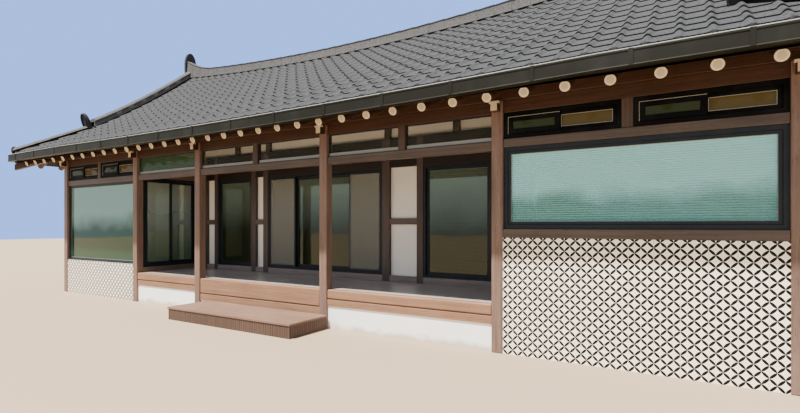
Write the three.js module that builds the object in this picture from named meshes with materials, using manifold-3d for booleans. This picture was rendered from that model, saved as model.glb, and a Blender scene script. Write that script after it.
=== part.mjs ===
// Korean timber house (hanok) with a hip-and-gable roof, in millimetres.
// X runs along the front from left to right, Y runs into the house, Z is up.
// The origin is on the ground, under the middle of the eaves.
import * as THREE from 'three';
import { mergeVertices } from 'three/addons/utils/BufferGeometryUtils.js';
import Module from 'manifold-3d';

const wasm = await Module();
wasm.setup();

// Driving dimensions: the plan
const COLUMN_X = [-7100, -4100, -2000, 1150, 4050, 7100];
const COLUMN = 150;
const FRONT = -3250;
const BACK = 3250;
const SIDE = 7175;
const RECESS = -1750;
const WALL = 150;
const FRAME_DEPTH = 70;
const ROOM_WALL_DEPTH = [15, 135];
const PORCH_WALL = 140;
const PORCH_WALL_INSET = 5;
const FIT = 0.3;
const PASS = 1;

// Driving dimensions: heights above the ground
const BASE_TOP = 500;
const FLOOR = 620;
const DOOR_SILL = 730;
const DOOR_HEAD = 2700;
const LINTEL = [2615, 2735];
const LINTEL_RIGHT = [2647, 2754];
const EAVE_BOARD = [3090, 3250];
const PURLIN_TOP = 3440;
const UPPER_WALL_TOP = 4350;

// Driving dimensions: base, porch edge and step
const SKIRT_INSET = 40;
const EDGE_DEPTH = [15, COLUMN - FIT];
const EDGE_LOW = 360;
const EDGE_MIDDLE_LOW = 200;
const STEP_RUN = [-1650, 1250];
const STEP_FRONT = -4100;
const STEP_HEIGHT = 220;
const STEP_BOARD = 30;
const STEP_NOSE = 15;

// Driving dimensions: front frame and room fronts
const LINTEL_DEPTH = [25, 125];
const MID_POST = 120;
const BAYS_WITH_MID_POST = [0, 2, 3, 4];
const RIGHT_BAY = 4;
const HEAD_WIDTH = 85;
const HEAD_REACH = 115;
const HEAD_TAIL = 60;
const HEAD_HEIGHT = [10, 170];
const HEAD_SLANT = 50;
const SHEET = 6;
const SHEET_LAP = 40;
const LEFT_PARAPET = 800;
const RIGHT_PARAPET = 1487;
const RIGHT_SILL = 1600;
const WINDOW_DEPTH = [50, 130];
const LEFT_WINDOW_FRAME = 60;
const RIGHT_WINDOW_FRAME = 90;
const PANE = 24;

// Driving dimensions: sliding doors and tall windows
const DOOR_DEPTH = 120;
const JAMB = 45;
const TRACKS = [[10, 50], [70, 110]];
const LEAF_STILE = 60;
const CLEAR = 6;
const LEAF_LAP = 30;
const SIDE_LEAF_LAP = 40;
const MEETING_GAP = 3;
const SIDE_DOOR_MARGIN = 5;
const SIDE_DOOR_INSET = 10;
const RECESS_DOOR_INSET = 15;
const CENTRE_DOOR = [-1650, 1300];
const LEFT_TALL_WINDOW = [-3300, -2170];
const RIGHT_TALL_WINDOW = [2160, 3420];
const SASH_STILE = 50;
const SASH_DEPTH = [40, 80];

// Driving dimensions: porch walls and recessed wall
const TRANSOM_FOOT = 2820;
const TRANSOM_POST = 60;
const UPPER_WALL_INSET = 20;
const UPPER_WALL_LAP = 5;
const HEADER_TOP = 3290;
const MID_RAIL = [1660, 1770];
const LEFT_POSTS = [[-3410, -3300], [-2170, -2030], [-1800, -1650]];
const RIGHT_POSTS = [[1300, 1460], [2030, 2160], [3420, 3550], [3850, 3980]];
const RAILED_PANELS = [[-3680, -3410], [-2030, -1800], [1460, 2030], [3550, 3850]];
const LEFT_END_BOARD_TO = -3680;
const HEADER_POST = 120;
const HEADER_POST_MARGIN = 60;

// Driving dimensions: back and end walls
const BOTTOM_RAIL = [BASE_TOP, 660];
const SILL_RAIL = [1377, 1487];
const WINDOW_HEIGHT = [1487, 2615];
const HEAD_RAIL = [2615, 2735];
const POST = 130;
const END_WALL_POSTS = [-1675, 750];
const EDGE_POST = 60;
const WINDOW_MARGIN = 50;

// Driving dimensions: roof slopes
const EAVE_X = 7970;
const EAVE_Y = 4120;
const EAVE_Z = 3350;
const GABLE_X = 6800;
const GABLE_WALL_X = 6550;
const GABLE_THICKNESS = 100;
const GABLE_HALF_WIDTH = 2700;
const GABLE_HEIGHT = [3700, 6100];
const FOOT = EAVE_X - GABLE_X;
const FOOT_RISE = 650;
const SAG_MIDDLE = 0.0091e-3;
const SAG_END = 0.0404e-3;
const TILE_START = 105;
const STRAIGHT_UNDERSIDE = 1000;
const SLOPE_COLUMNS = 20;
const HIP_COLUMNS = 12;
const TONGUE_COLUMNS = 6;
const TONGUE_HALF_WIDTH = 2400;
const TONGUE_LAP = 50;
const ABOVE_ROOF = 3000;
const BELOW_ROOF = 400;
const ROLL_PITCH = 277;
const ROLLS_EACH_WAY = 28;
const ROLL_FOOT = 120;
const ROLL_CROWN = 34;
const ROLL_HEIGHT = 36;

// Driving dimensions: rafters
const RAFTER_RADIUS = 60;
const RAFTER_SIDES = 8;
const RAFTER_SLOPE = 0.466;
const RAFTER_START = 150;
const RAFTER_START_Z = 3110;
const RAFTER_END = 1050;
const FRONT_RAFTERS = 36;
const FRONT_RAFTER_PITCH = 400;
const FRONT_RAFTER_SPREAD = 0.0646;
const FRONT_RAFTER_SHIFT = 130;
const END_RAFTERS = 16;
const END_RAFTER_PITCH = 405;
const CORNER_JACK_OFFSET = 624;
const JACK_GAP = 110;
const END_JACK_GAP = 160;
const PURLIN_END = 7230;
const HIP_RAFTER_WIDTH = 130;
const HIP_RAFTER_HEIGHT = 150;
const HIP_RAFTER_DROP = 30;
const HIP_RAFTER_RUN = [130, 950];

// Driving dimensions: ridges and gutter
const RIDGE_WIDTH = 260;
const RIDGE_TAPER = 0.8;
const RIDGE_OVER_TILES = 180;
const RIDGE_SEAT = 250;
const RIDGE_STEPS = 12;
const UPTURN_STEPS = 4;
const UPTURN = 260;
const UPTURN_START = 5600;
const RIDGE_TILE = [360, 750, 90];
const RIDGE_TILE_FOOT = 6070;
const RIDGE_TILE_INSET = 30;
const DESCENT_WIDTH = 240;
const DESCENT_HEIGHT = 230;
const DESCENT_INSET = 10;
const DESCENT_STEPS = 10;
const DESCENT_TILE = [300, 560, 80];
const DESCENT_TILE_FOOT = 3880;
const DESCENT_TILE_OUT = 60;
const HIP_HEIGHT = 50;
const HIP_STEPS = 6;
const HIP_END = 105;
const HIP_SEAT = 150;
const MITRE_STRETCH = 1.08;
const GUTTER_WIDTH = 100;
const GUTTER_WALL = 8;
const GUTTER_HEIGHT = [3180, 3345];

// Materials
function material(color, roughness, metalness) {
  return new THREE.MeshStandardMaterial({ color, roughness, metalness });
}

const timber = material(0x6b4a40, 0.6, 0);
const plaster = material(0xe6e2d8, 0.9, 0);
const tiledWall = material(0xd8d8dc, 0.5, 0);
const blackFrame = material(0x23282d, 0.4, 0.6);
const glass = material(0x9fb8b4, 0.1, 0);
const roofTile = material(0x82828a, 0.8, 0);
const darkMetal = material(0x3c3c37, 0.4, 0.6);
const floorBoard = material(0x5a4436, 0.5, 0);

// Solids: geometry to a closed solid and back
function solidOf(geometry) {
  geometry.deleteAttribute('normal');
  geometry.deleteAttribute('uv');
  const merged = mergeVertices(geometry);
  const vertProperties = new Float32Array(merged.attributes.position.array);
  const triVerts = new Uint32Array(merged.index.array);
  return new wasm.Manifold(new wasm.Mesh({ numProp: 3, vertProperties, triVerts }));
}

function geometryOf(solid) {
  const mesh = solid.getMesh();
  const geometry = new THREE.BufferGeometry();
  geometry.setAttribute('position', new THREE.BufferAttribute(mesh.vertProperties, 3));
  geometry.setIndex(new THREE.BufferAttribute(mesh.triVerts, 1));
  geometry.computeVertexNormals();
  return geometry;
}

// A solid from listed corners and triangles
function solidFrom(positions, index) {
  const geometry = new THREE.BufferGeometry();
  geometry.setAttribute('position', new THREE.Float32BufferAttribute(positions, 3));
  geometry.setIndex(index);
  return solidOf(geometry);
}

// A block between two X, two Y and two Z values
function block([x0, x1], [y0, y1], [z0, z1]) {
  const geometry = new THREE.BoxGeometry(x1 - x0, y1 - y0, z1 - z0);
  geometry.translate((x0 + x1) / 2, (y0 + y1) / 2, (z0 + z1) / 2);
  return solidOf(geometry);
}

const join = (solids) => solids.reduce((whole, solid) => whole.add(solid));
const cut = (solid, tools) => tools.reduce((rest, tool) => rest.subtract(tool), solid);
const grown = ([low, high], by = FIT) => [low - by, high + by];
const around = (middle, width) => [middle - width / 2, middle + width / 2];
const bothEnds = [-1, 1];

const house = new THREE.Group();
house.name = 'hanok_house';

function addPart(name, solid, finish) {
  const mesh = new THREE.Mesh(geometryOf(solid), finish);
  mesh.name = name;
  house.add(mesh);
}

// A wall side turns a run along the wall and a depth from its outer face into X and Y
const SIDES = {
  front: (run, depth) => [run, [FRONT + depth[0], FRONT + depth[1]]],
  recess: (run, depth) => [run, [RECESS + depth[0], RECESS + depth[1]]],
  back: (run, depth) => [run, [BACK - depth[1], BACK - depth[0]]],
  left: (run, depth) => [[depth[0] - SIDE, depth[1] - SIDE], run],
  right: (run, depth) => [[SIDE - depth[1], SIDE - depth[0]], run],
};

function wallBlock(side, run, depth, height) {
  const [x, y] = SIDES[side](run, depth);
  return block(x, y, height);
}

// Lines of the plan that several parts share
const columnFaces = COLUMN_X.map((x) => around(x, COLUMN));
const columnDepth = [FRONT, FRONT + COLUMN];
const behindColumns = FRONT + COLUMN;
const bayCentre = (bay) => (COLUMN_X[bay] + COLUMN_X[bay + 1]) / 2;
const leftRoomRun = [columnFaces[0][1], columnFaces[1][0]];
const porchRun = [columnFaces[1][1], columnFaces[4][0]];
const rightRoomRun = [columnFaces[4][1], columnFaces[5][0]];
const middleBayRun = [columnFaces[2][1], columnFaces[3][0]];
const leftPorchWallX = [porchRun[0] - PORCH_WALL_INSET - PORCH_WALL, porchRun[0] - PORCH_WALL_INSET];
const rightPorchWallX = [porchRun[1] + PORCH_WALL_INSET, porchRun[1] + PORCH_WALL_INSET + PORCH_WALL];

// The roof surface: concave from eave to ridge, and sagging along the ridge between the gables
function sagAt(x) {
  return SAG_MIDDLE + (SAG_END - SAG_MIDDLE) * (x / GABLE_X) ** 2;
}

function roofTop(x, inward) {
  return EAVE_Z + (FOOT_RISE / FOOT) * inward + sagAt(x) * inward * (inward - FOOT);
}

const rafterAngle = Math.atan(RAFTER_SLOPE);
const rafterApothem = RAFTER_RADIUS * Math.cos(Math.PI / RAFTER_SIDES);

function rafterTop(inward) {
  const onAxis = RAFTER_START_Z + RAFTER_SLOPE * (inward - RAFTER_START);
  return onAxis + rafterApothem / Math.cos(rafterAngle) + FIT;
}

function roofUnderside(x, inward) {
  if (inward <= STRAIGHT_UNDERSIDE) return rafterTop(inward);
  return rafterTop(STRAIGHT_UNDERSIDE) + roofTop(x, inward) - roofTop(x, STRAIGHT_UNDERSIDE);
}

// A slope: a grid of rows going inward from the eave, closed by an underside and four edges
function slopeSolid(rows, linesAt, top, bottom, place) {
  const positions = [];
  const index = [];
  const columns = linesAt(rows[0]).length - 1;
  const perRow = columns + 1;
  const layer = rows.length * perRow;
  for (const height of [top, bottom]) {
    for (const inward of rows) {
      for (const along of linesAt(inward)) {
        const [x, y] = place(along, inward);
        positions.push(x, y, height(along, inward));
      }
    }
  }
  const quad = (a, b, c, d) => index.push(a, b, c, a, c, d);
  for (let row = 0; row < rows.length - 1; row += 1) {
    for (let column = 0; column < columns; column += 1) {
      const a = row * perRow + column;
      quad(a, a + 1, a + 1 + perRow, a + perRow);
      quad(layer + a, layer + a + perRow, layer + a + 1 + perRow, layer + a + 1);
    }
    const left = row * perRow;
    const right = left + columns;
    quad(left, left + perRow, left + perRow + layer, left + layer);
    quad(right, right + layer, right + layer + perRow, right + perRow);
  }
  const last = (rows.length - 1) * perRow;
  for (let column = 0; column < columns; column += 1) {
    quad(column, column + layer, column + 1 + layer, column + 1);
    quad(last + column, last + column + 1, last + column + 1 + layer, last + column + layer);
  }
  return solidFrom(positions, index);
}

const PLACES = {
  front: (along, inward) => [along, -EAVE_Y + inward],
  back: (along, inward) => [-along, EAVE_Y - inward],
  left: (along, inward) => [-EAVE_X + inward, -along],
  right: (along, inward) => [EAVE_X - inward, along],
};
const hipRows = [TILE_START, 450, 800, STRAIGHT_UNDERSIDE, FOOT];
const mainRows = [...hipRows, 1600, 2050, 2500, 2950, 3350, 3750];
const mainHalfWidth = (inward) => (inward < FOOT ? EAVE_X - inward : GABLE_X) - FIT;
const hipHalfWidth = (inward) => EAVE_Y - inward - FIT;
const evenLines = (halfWidth, columns) =>
  Array.from({ length: columns + 1 }, (_, column) => halfWidth * (2 * column / columns - 1));

// The rolls pressed into the tiles run straight up the long slopes, between flat pans
const rollRows = [0, FOOT, 1900, 2650, 3400, EAVE_Y + PASS];
const rollNumbers = Array.from({ length: 2 * ROLLS_EACH_WAY + 1 }, (_, count) => count - ROLLS_EACH_WAY);
const rollAxes = rollNumbers.map((number) => number * ROLL_PITCH);
const crownEdges = [-ROLL_CROWN / 2, ROLL_CROWN / 2];
const rollEdges = [-ROLL_FOOT / 2, ...crownEdges, ROLL_FOOT / 2];
const acrossRolls = (edges) => rollAxes.flatMap((axis) => edges.map((edge) => axis + edge));
const rollLines = [-EAVE_X - PASS, ...acrossRolls(rollEdges), EAVE_X + PASS];
const crownLines = [-EAVE_X - PASS, ...acrossRolls(crownEdges), EAVE_X + PASS];

function rollRise(along) {
  const offAxis = Math.abs(along - Math.round(along / ROLL_PITCH) * ROLL_PITCH);
  const share = (ROLL_FOOT / 2 - offAxis) / (ROLL_FOOT / 2 - ROLL_CROWN / 2);
  return ROLL_HEIGHT * Math.min(1, Math.max(0, share));
}

// above and below thicken a slope into a cutting tool, which laps over its neighbours by lap
function mainSlope(side, above = 0, below = 0, lap = 0, lines = rollLines, rise = rollRise) {
  const bottom = (x, inward) => roofUnderside(x, inward) - below;
  const overRolls = (x, inward) => roofTop(x, inward) + above + 2 * ROLL_HEIGHT;
  const rows = [...mainRows, lap > 0 ? EAVE_Y : EAVE_Y - FIT];
  const bandLines = (inward) => evenLines(mainHalfWidth(inward) + lap, SLOPE_COLUMNS);
  const band = slopeSolid(rows, bandLines, overRolls, bottom, PLACES[side]);
  const top = (x, inward) => roofTop(x, inward) + above + rise(x);
  return band.intersect(slopeSolid(rollRows, () => lines, top, () => 0, PLACES[side]));
}

function hipSlope(side, above = 0, below = 0, lap = 0) {
  const top = (x, inward) => roofTop(0, inward) + above;
  const bottom = (x, inward) => roofUnderside(0, inward) - below;
  const lines = (inward) => evenLines(hipHalfWidth(inward) + lap, HIP_COLUMNS);
  return slopeSolid(hipRows, lines, top, bottom, PLACES[side]);
}

// Ridges rest on the crowns of the rolls and leave the pans open below them
const bothMainSlopes = (...shape) => join(['front', 'back'].map((side) => mainSlope(side, ...shape)));
const mainSlopesUpward = bothMainSlopes(ABOVE_ROOF, FIT, PASS);
const slopesDownward = [
  bothMainSlopes(FIT, BELOW_ROOF, PASS, crownLines, () => ROLL_HEIGHT),
  ...['left', 'right'].map((side) => hipSlope(side, FIT, BELOW_ROOF, PASS)),
];

// Porch edge: a deep board along the front of the porch floor, deeper still behind the step
function edgeBoard(by = 0, behind = 0) {
  const depth = [EDGE_DEPTH[0] - by, EDGE_DEPTH[1] + by + behind];
  const long = wallBlock('front', grown(porchRun, by), depth, grown([EDGE_LOW, FLOOR], by));
  return long.add(wallBlock('front', middleBayRun, depth, grown([EDGE_MIDDLE_LOW, FLOOR], by)));
}

function cornerPost(end, by, height) {
  const x = end < 0 ? [-SIDE, -SIDE + COLUMN] : [SIDE - COLUMN, SIDE];
  return block(grown(x, by), grown([BACK - COLUMN, BACK], by), height);
}

// Masonry base, notched round the columns and the porch edge board
function foundation() {
  const inset = SIDE - SKIRT_INSET;
  const wide = block([-inset, inset], [FRONT + ROOM_WALL_DEPTH[1], BACK - SKIRT_INSET], [0, BASE_TOP]);
  const underPorch = block(porchRun, [FRONT + SKIRT_INSET, 0], [0, BASE_TOP]);
  const through = grown([0, BASE_TOP], PASS);
  const columns = columnFaces.map((face) => block(grown(face), grown(columnDepth), through));
  const backPosts = bothEnds.map((end) => cornerPost(end, FIT, through));
  return cut(wide.add(underPorch), [...columns, ...backPosts, edgeBoard(FIT)]);
}

function roomFloor() {
  const inside = SIDE - WALL;
  const height = [BASE_TOP, FLOOR];
  const main = block([-inside, inside], [RECESS, BACK - WALL], height);
  const left = block([-inside, leftPorchWallX[1]], [behindColumns, RECESS], height);
  const right = block([rightPorchWallX[0], inside], [behindColumns, RECESS], height);
  return join([main, left, right]);
}

function porchDeck() {
  return block([leftPorchWallX[1], rightPorchWallX[0]], [behindColumns, RECESS], [BASE_TOP, FLOOR]);
}

function porchStep() {
  const bodyRun = grown(STEP_RUN, -STEP_NOSE);
  const body = block(bodyRun, [STEP_FRONT + STEP_NOSE, FRONT], [0, STEP_HEIGHT - STEP_BOARD]);
  return body.add(block(STEP_RUN, [STEP_FRONT, FRONT], [STEP_HEIGHT - STEP_BOARD, STEP_HEIGHT]));
}

addPart('foundation', foundation(), plaster);
addPart('room_floor', roomFloor(), floorBoard);
addPart('porch_deck', porchDeck(), floorBoard);
addPart('porch_edge_board', edgeBoard(), timber);
addPart('porch_step', porchStep(), timber);

// Front frame: six columns, a lintel tenoned through them, short posts over it
function lintel(by = 0) {
  const depth = grown(LINTEL_DEPTH, by);
  const long = wallBlock('front', [COLUMN_X[0], COLUMN_X[4]], depth, grown(LINTEL, by));
  const right = wallBlock('front', [COLUMN_X[4], COLUMN_X[5]], depth, grown(LINTEL_RIGHT, by));
  const posts = BAYS_WITH_MID_POST.map((bay) => {
    const foot = bay === RIGHT_BAY ? LINTEL_RIGHT[0] : LINTEL[0];
    return wallBlock('front', around(bayCentre(bay), MID_POST), depth, [foot, EAVE_BOARD[0]]);
  });
  return join([long, right, ...posts]);
}

// The end of a roof beam, showing on the face of a column with a slanted top
function beamHead(x, by = 0) {
  const nose = FRONT - HEAD_REACH - by;
  const tail = FRONT + HEAD_TAIL;
  const low = EAVE_BOARD[0] + HEAD_HEIGHT[0] - by;
  const high = EAVE_BOARD[0] + HEAD_HEIGHT[1] + by;
  const outline = new THREE.Shape([
    new THREE.Vector2(nose, low),
    new THREE.Vector2(tail, low),
    new THREE.Vector2(tail, high),
    new THREE.Vector2(nose, high - HEAD_SLANT),
  ]);
  const width = HEAD_WIDTH + 2 * by;
  const geometry = new THREE.ExtrudeGeometry(outline, { depth: width, bevelEnabled: false });
  geometry.rotateX(Math.PI / 2);
  geometry.rotateZ(Math.PI / 2);
  geometry.translate(x - width / 2, 0, 0);
  return solidOf(geometry);
}

function frontEaveBoard(by = 0) {
  return wallBlock('front', [-SIDE, SIDE], grown(LINTEL_DEPTH, by), grown(EAVE_BOARD, by));
}

const frameTools = [lintel(FIT), frontEaveBoard(FIT)];
const edgeTool = edgeBoard(FIT, PASS);

COLUMN_X.forEach((x, index) => {
  const post = block(columnFaces[index], columnDepth, [0, EAVE_BOARD[1]]);
  const besidePorch = x === COLUMN_X[2] || x === COLUMN_X[3];
  const tools = [...frameTools, beamHead(x, FIT), ...(besidePorch ? [edgeTool] : [])];
  addPart(`front_column_${index + 1}`, cut(post, tools), timber);
});
addPart('front_lintel', lintel(), timber);

// One sheet behind the lintel posts closes the whole row of transom lights
function transomGlass(by = 0) {
  const run = grown([-SIDE + COLUMN, SIDE - COLUMN], by - FIT);
  const height = grown([LINTEL[1], EAVE_BOARD[0]], SHEET_LAP / 2 + by);
  return wallBlock('front', run, [COLUMN, COLUMN + SHEET + by], height);
}
addPart('front_transom_glass', transomGlass(), glass);

// A glazed unit: a frame of one width with a pane in the middle of its depth
function glazedUnit(run, depth, height, width) {
  const middle = (depth[0] + depth[1]) / 2;
  const frame = wallBlock('front', run, depth, height);
  const hole = wallBlock('front', grown(run, -width), grown(depth, PASS), grown(height, -width));
  const pane = wallBlock('front', grown(run, -PASS), around(middle, PANE), grown(height, -PASS));
  return cut(frame, [hole]).add(pane);
}

// Room fronts: tiled parapet walls with the windows standing on them
function roomFront(run, height) {
  return wallBlock('front', run, ROOM_WALL_DEPTH, height);
}

function roomWindow(run, height, width) {
  return glazedUnit(run, WINDOW_DEPTH, height, width);
}

const leftWindow = roomWindow(leftRoomRun, [LEFT_PARAPET, LINTEL[0]], LEFT_WINDOW_FRAME);
const rightWindow = roomWindow(rightRoomRun, [RIGHT_SILL, LINTEL_RIGHT[0]], RIGHT_WINDOW_FRAME);
addPart('left_room_tile_wall', roomFront(leftRoomRun, [0, LEFT_PARAPET]), tiledWall);
addPart('left_room_window', leftWindow, blackFrame);
addPart('right_room_tile_wall', roomFront(rightRoomRun, [0, RIGHT_PARAPET]), tiledWall);
addPart('right_room_sill', roomFront(rightRoomRun, [RIGHT_PARAPET, RIGHT_SILL]), timber);
addPart('right_room_window', rightWindow, blackFrame);

// Roof slopes of tiles on boards; a hip slope runs on under the verge up to the gable wall
function hipSlopeToGable(side) {
  const rows = [FOOT - TONGUE_LAP, EAVE_X - GABLE_WALL_X - FIT];
  const top = (x, inward) => roofTop(0, inward);
  const bottom = (x, inward) => roofUnderside(0, inward);
  const lines = () => evenLines(TONGUE_HALF_WIDTH, TONGUE_COLUMNS);
  const tongue = slopeSolid(rows, lines, top, bottom, PLACES[side]);
  return hipSlope(side).add(tongue).subtract(mainSlopesUpward);
}

function gableWall(end) {
  const faces = [end * GABLE_WALL_X, end * (GABLE_WALL_X - GABLE_THICKNESS)].sort((a, b) => a - b);
  return block(faces, [-GABLE_HALF_WIDTH, GABLE_HALF_WIDTH], GABLE_HEIGHT).subtract(mainSlopesUpward);
}

addPart('roof_front', mainSlope('front'), roofTile);
addPart('roof_back', mainSlope('back'), roofTile);
addPart('roof_left_end', hipSlopeToGable('left'), roofTile);
addPart('roof_right_end', hipSlopeToGable('right'), roofTile);
addPart('gable_left', gableWall(-1), plaster);
addPart('gable_right', gableWall(1), plaster);

// A ridge run: four-cornered sections at stations, narrower at the top by taper
function ridgeRun(stations, width, taper = RIDGE_TAPER) {
  const positions = [];
  const index = [];
  for (const { x, y, across, low, high } of stations) {
    const [ax, ay] = across.map((part) => part * width / 2);
    positions.push(x - ax, y - ay, low, x + ax, y + ay, low);
    positions.push(x + ax * taper, y + ay * taper, high, x - ax * taper, y - ay * taper, high);
  }
  const quad = (a, b, c, d) => index.push(a, b, c, a, c, d);
  for (let station = 0; station < stations.length - 1; station += 1) {
    const a = station * 4;
    for (let side = 0; side < 4; side += 1) {
      const next = (side + 1) % 4;
      quad(a + side, a + next, a + next + 4, a + side + 4);
    }
  }
  const last = (stations.length - 1) * 4;
  quad(0, 3, 2, 1);
  quad(last, last + 1, last + 2, last + 3);
  return solidFrom(positions, index);
}

// An ornament tile closing a ridge end: a round-headed plate, standing across the ridge
function endTile([width, height, thickness], by = 0) {
  const half = width / 2 + by;
  const outline = new THREE.Shape();
  outline.moveTo(-half, 0);
  outline.lineTo(half, 0);
  outline.lineTo(half, height - half);
  outline.absarc(0, height - half, half, 0, Math.PI, false);
  outline.closePath();
  const depth = thickness + 2 * by;
  const geometry = new THREE.ExtrudeGeometry(outline, { depth, bevelEnabled: false, curveSegments: 8 });
  geometry.translate(0, 0, -depth / 2);
  geometry.rotateX(Math.PI / 2);
  return geometry;
}

function ridgeEndTile(end, by = 0) {
  const geometry = endTile(RIDGE_TILE, by);
  geometry.rotateZ(Math.PI / 2);
  geometry.translate(end * (GABLE_X - RIDGE_TILE_INSET), 0, RIDGE_TILE_FOOT);
  return solidOf(geometry);
}

// The main ridge follows the sag of the roof and turns up sharply at both ends
function mainRidge() {
  const upturnMiddle = (GABLE_X + UPTURN_START) / 2;
  const upturnX = evenLines((GABLE_X - UPTURN_START) / 2, UPTURN_STEPS).map((x) => x + upturnMiddle);
  const levelX = evenLines(UPTURN_START, RIDGE_STEPS);
  const stations = [];
  for (const x of [...upturnX.map((x) => -x).reverse(), ...levelX.slice(1, -1), ...upturnX]) {
    const beyond = Math.max(0, (Math.abs(x) - UPTURN_START) / (GABLE_X - UPTURN_START));
    const tiles = roofTop(x, EAVE_Y);
    const high = tiles + RIDGE_OVER_TILES + UPTURN * beyond ** 2;
    stations.push({ x, y: 0, across: [0, 1], low: tiles - RIDGE_SEAT, high });
  }
  const ends = bothEnds.map((end) => ridgeEndTile(end));
  return cut(join([ridgeRun(stations, RIDGE_WIDTH), ...ends]), slopesDownward);
}

const gutterTop = block([-EAVE_X, EAVE_X], [-EAVE_Y, EAVE_Y], grown(GUTTER_HEIGHT));

// A corner ridge comes down the verge of the main slope, then turns out along the hip
function cornerRidge(sx, sy) {
  const centre = GABLE_X - DESCENT_WIDTH / 2 - DESCENT_INSET;
  const turn = EAVE_Y - (EAVE_X - centre);
  const start = RIDGE_WIDTH / 2 + PASS;
  const reach = EAVE_X - centre - HIP_END;
  const stations = [];
  for (let step = 0; step < DESCENT_STEPS; step += 1) {
    const y = start + (turn - start) * (step / DESCENT_STEPS);
    const tiles = roofTop(centre, EAVE_Y - y);
    const [low, high] = [tiles - HIP_SEAT, tiles + DESCENT_HEIGHT];
    stations.push({ x: sx * centre, y: sy * y, across: [1, 0], low, high });
  }
  for (let step = 0; step <= HIP_STEPS; step += 1) {
    const out = reach * (step / HIP_STEPS);
    const tiles = roofTop(0, EAVE_X - centre - out);
    const atTurn = step === 0;
    const angle = atTurn ? Math.PI / 8 : Math.PI / 4;
    const stretch = atTurn ? MITRE_STRETCH : 1;
    const across = [Math.cos(angle) * stretch, -sx * sy * Math.sin(angle) * stretch];
    const high = tiles + (atTurn ? DESCENT_HEIGHT : HIP_HEIGHT);
    stations.push({ x: sx * (centre + out), y: sy * (turn + out), across, low: tiles - HIP_SEAT, high });
  }
  const run = ridgeRun(sy < 0 ? stations : stations.reverse(), DESCENT_WIDTH);
  const tile = endTile(DESCENT_TILE);
  tile.translate(sx * centre, sy * (turn + DESCENT_TILE_OUT), DESCENT_TILE_FOOT);
  return cut(run.add(solidOf(tile)), [...slopesDownward, ridgeEndTile(sx, FIT), gutterTop]);
}

addPart('main_ridge', mainRidge(), roofTile);
addPart('corner_ridge_front_left', cornerRidge(-1, -1), roofTile);
addPart('corner_ridge_front_right', cornerRidge(1, -1), roofTile);
addPart('corner_ridge_back_left', cornerRidge(-1, 1), roofTile);
addPart('corner_ridge_back_right', cornerRidge(1, 1), roofTile);

// The gutter: an open channel round the eaves, mitred at the corners
function gutter() {
  const slab = (inset, height) =>
    block([-EAVE_X + inset, EAVE_X - inset], [-EAVE_Y + inset, EAVE_Y - inset], height);
  const inside = slab(GUTTER_WIDTH, grown(GUTTER_HEIGHT, PASS));
  const channelHeight = [GUTTER_HEIGHT[0] + GUTTER_WALL, GUTTER_HEIGHT[1] + PASS];
  const core = slab(GUTTER_WIDTH - GUTTER_WALL, grown(channelHeight, PASS));
  const channel = cut(slab(GUTTER_WALL, channelHeight), [core]);
  return cut(slab(0, GUTTER_HEIGHT), [inside, channel]);
}
addPart('gutter', gutter(), darkMetal);

// A round rafter, placed by its distance along the eave and its two distances inward
function rafter(side, along, from, to) {
  const length = (to - from) / Math.cos(rafterAngle);
  const radius = RAFTER_RADIUS;
  const turn = Math.PI / RAFTER_SIDES;
  const geometry = new THREE.CylinderGeometry(radius, radius, length, RAFTER_SIDES, 1, false, turn);
  geometry.rotateX(rafterAngle);
  const middle = (from + to) / 2;
  geometry.translate(along, middle, RAFTER_START_Z + RAFTER_SLOPE * (middle - RAFTER_START));
  geometry.rotateZ({ front: 0, back: Math.PI, left: -Math.PI / 2, right: Math.PI / 2 }[side]);
  const [x, y] = PLACES[side](0, 0);
  geometry.translate(x, y, 0);
  return solidOf(geometry);
}

// The square hip rafter lies under the corner, and the short jack rafters run into it
function hipRafter(sx, sy) {
  const station = (inward) => {
    const high = rafterTop(inward) - HIP_RAFTER_DROP;
    const [x, y] = [sx * (EAVE_X - inward), sy * (EAVE_Y - inward)];
    const across = [Math.SQRT1_2, -sx * sy * Math.SQRT1_2];
    return { x, y, across, low: high - HIP_RAFTER_HEIGHT, high };
  };
  const stations = HIP_RAFTER_RUN.map(station);
  return ridgeRun(sy < 0 ? stations.reverse() : stations, HIP_RAFTER_WIDTH);
}

// Rafters stand a little wider apart towards the corners, and the middle ones a little to the left
function frontRafterX(number) {
  const half = (FRONT_RAFTERS - 1) / 2;
  const count = number - half;
  const shift = FRONT_RAFTER_SHIFT * (1 - (count / (half + 1)) ** 2);
  return FRONT_RAFTER_PITCH * count + FRONT_RAFTER_SPREAD * count ** 3 - shift;
}

// A long eave: purlin, board under it, rafters, hip rafters and their jacks, and the beam heads
function longEave(side) {
  const sy = side === 'front' ? -1 : 1;
  const boardRun = grown([-SIDE + COLUMN, SIDE - COLUMN], -FIT);
  const solids = [
    wallBlock(side, [-PURLIN_END, PURLIN_END], [0, WALL], [EAVE_BOARD[1], PURLIN_TOP]),
    side === 'front' ? frontEaveBoard() : wallBlock(side, boardRun, LINTEL_DEPTH, EAVE_BOARD),
  ];
  for (let number = 0; number < FRONT_RAFTERS; number += 1) {
    const x = frontRafterX(number);
    const reach = Math.min(RAFTER_END, EAVE_X - Math.abs(x) - JACK_GAP);
    solids.push(rafter(side, -sy * x, RAFTER_START, reach));
  }
  for (const sx of bothEnds) {
    const along = sy * sx * (EAVE_Y - CORNER_JACK_OFFSET);
    const cornerJack = rafter(sx < 0 ? 'left' : 'right', along, RAFTER_START, CORNER_JACK_OFFSET - JACK_GAP);
    solids.push(hipRafter(sx, sy), cornerJack);
  }
  if (side === 'front') solids.push(...COLUMN_X.map((x) => beamHead(x)));
  return join(solids);
}

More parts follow.
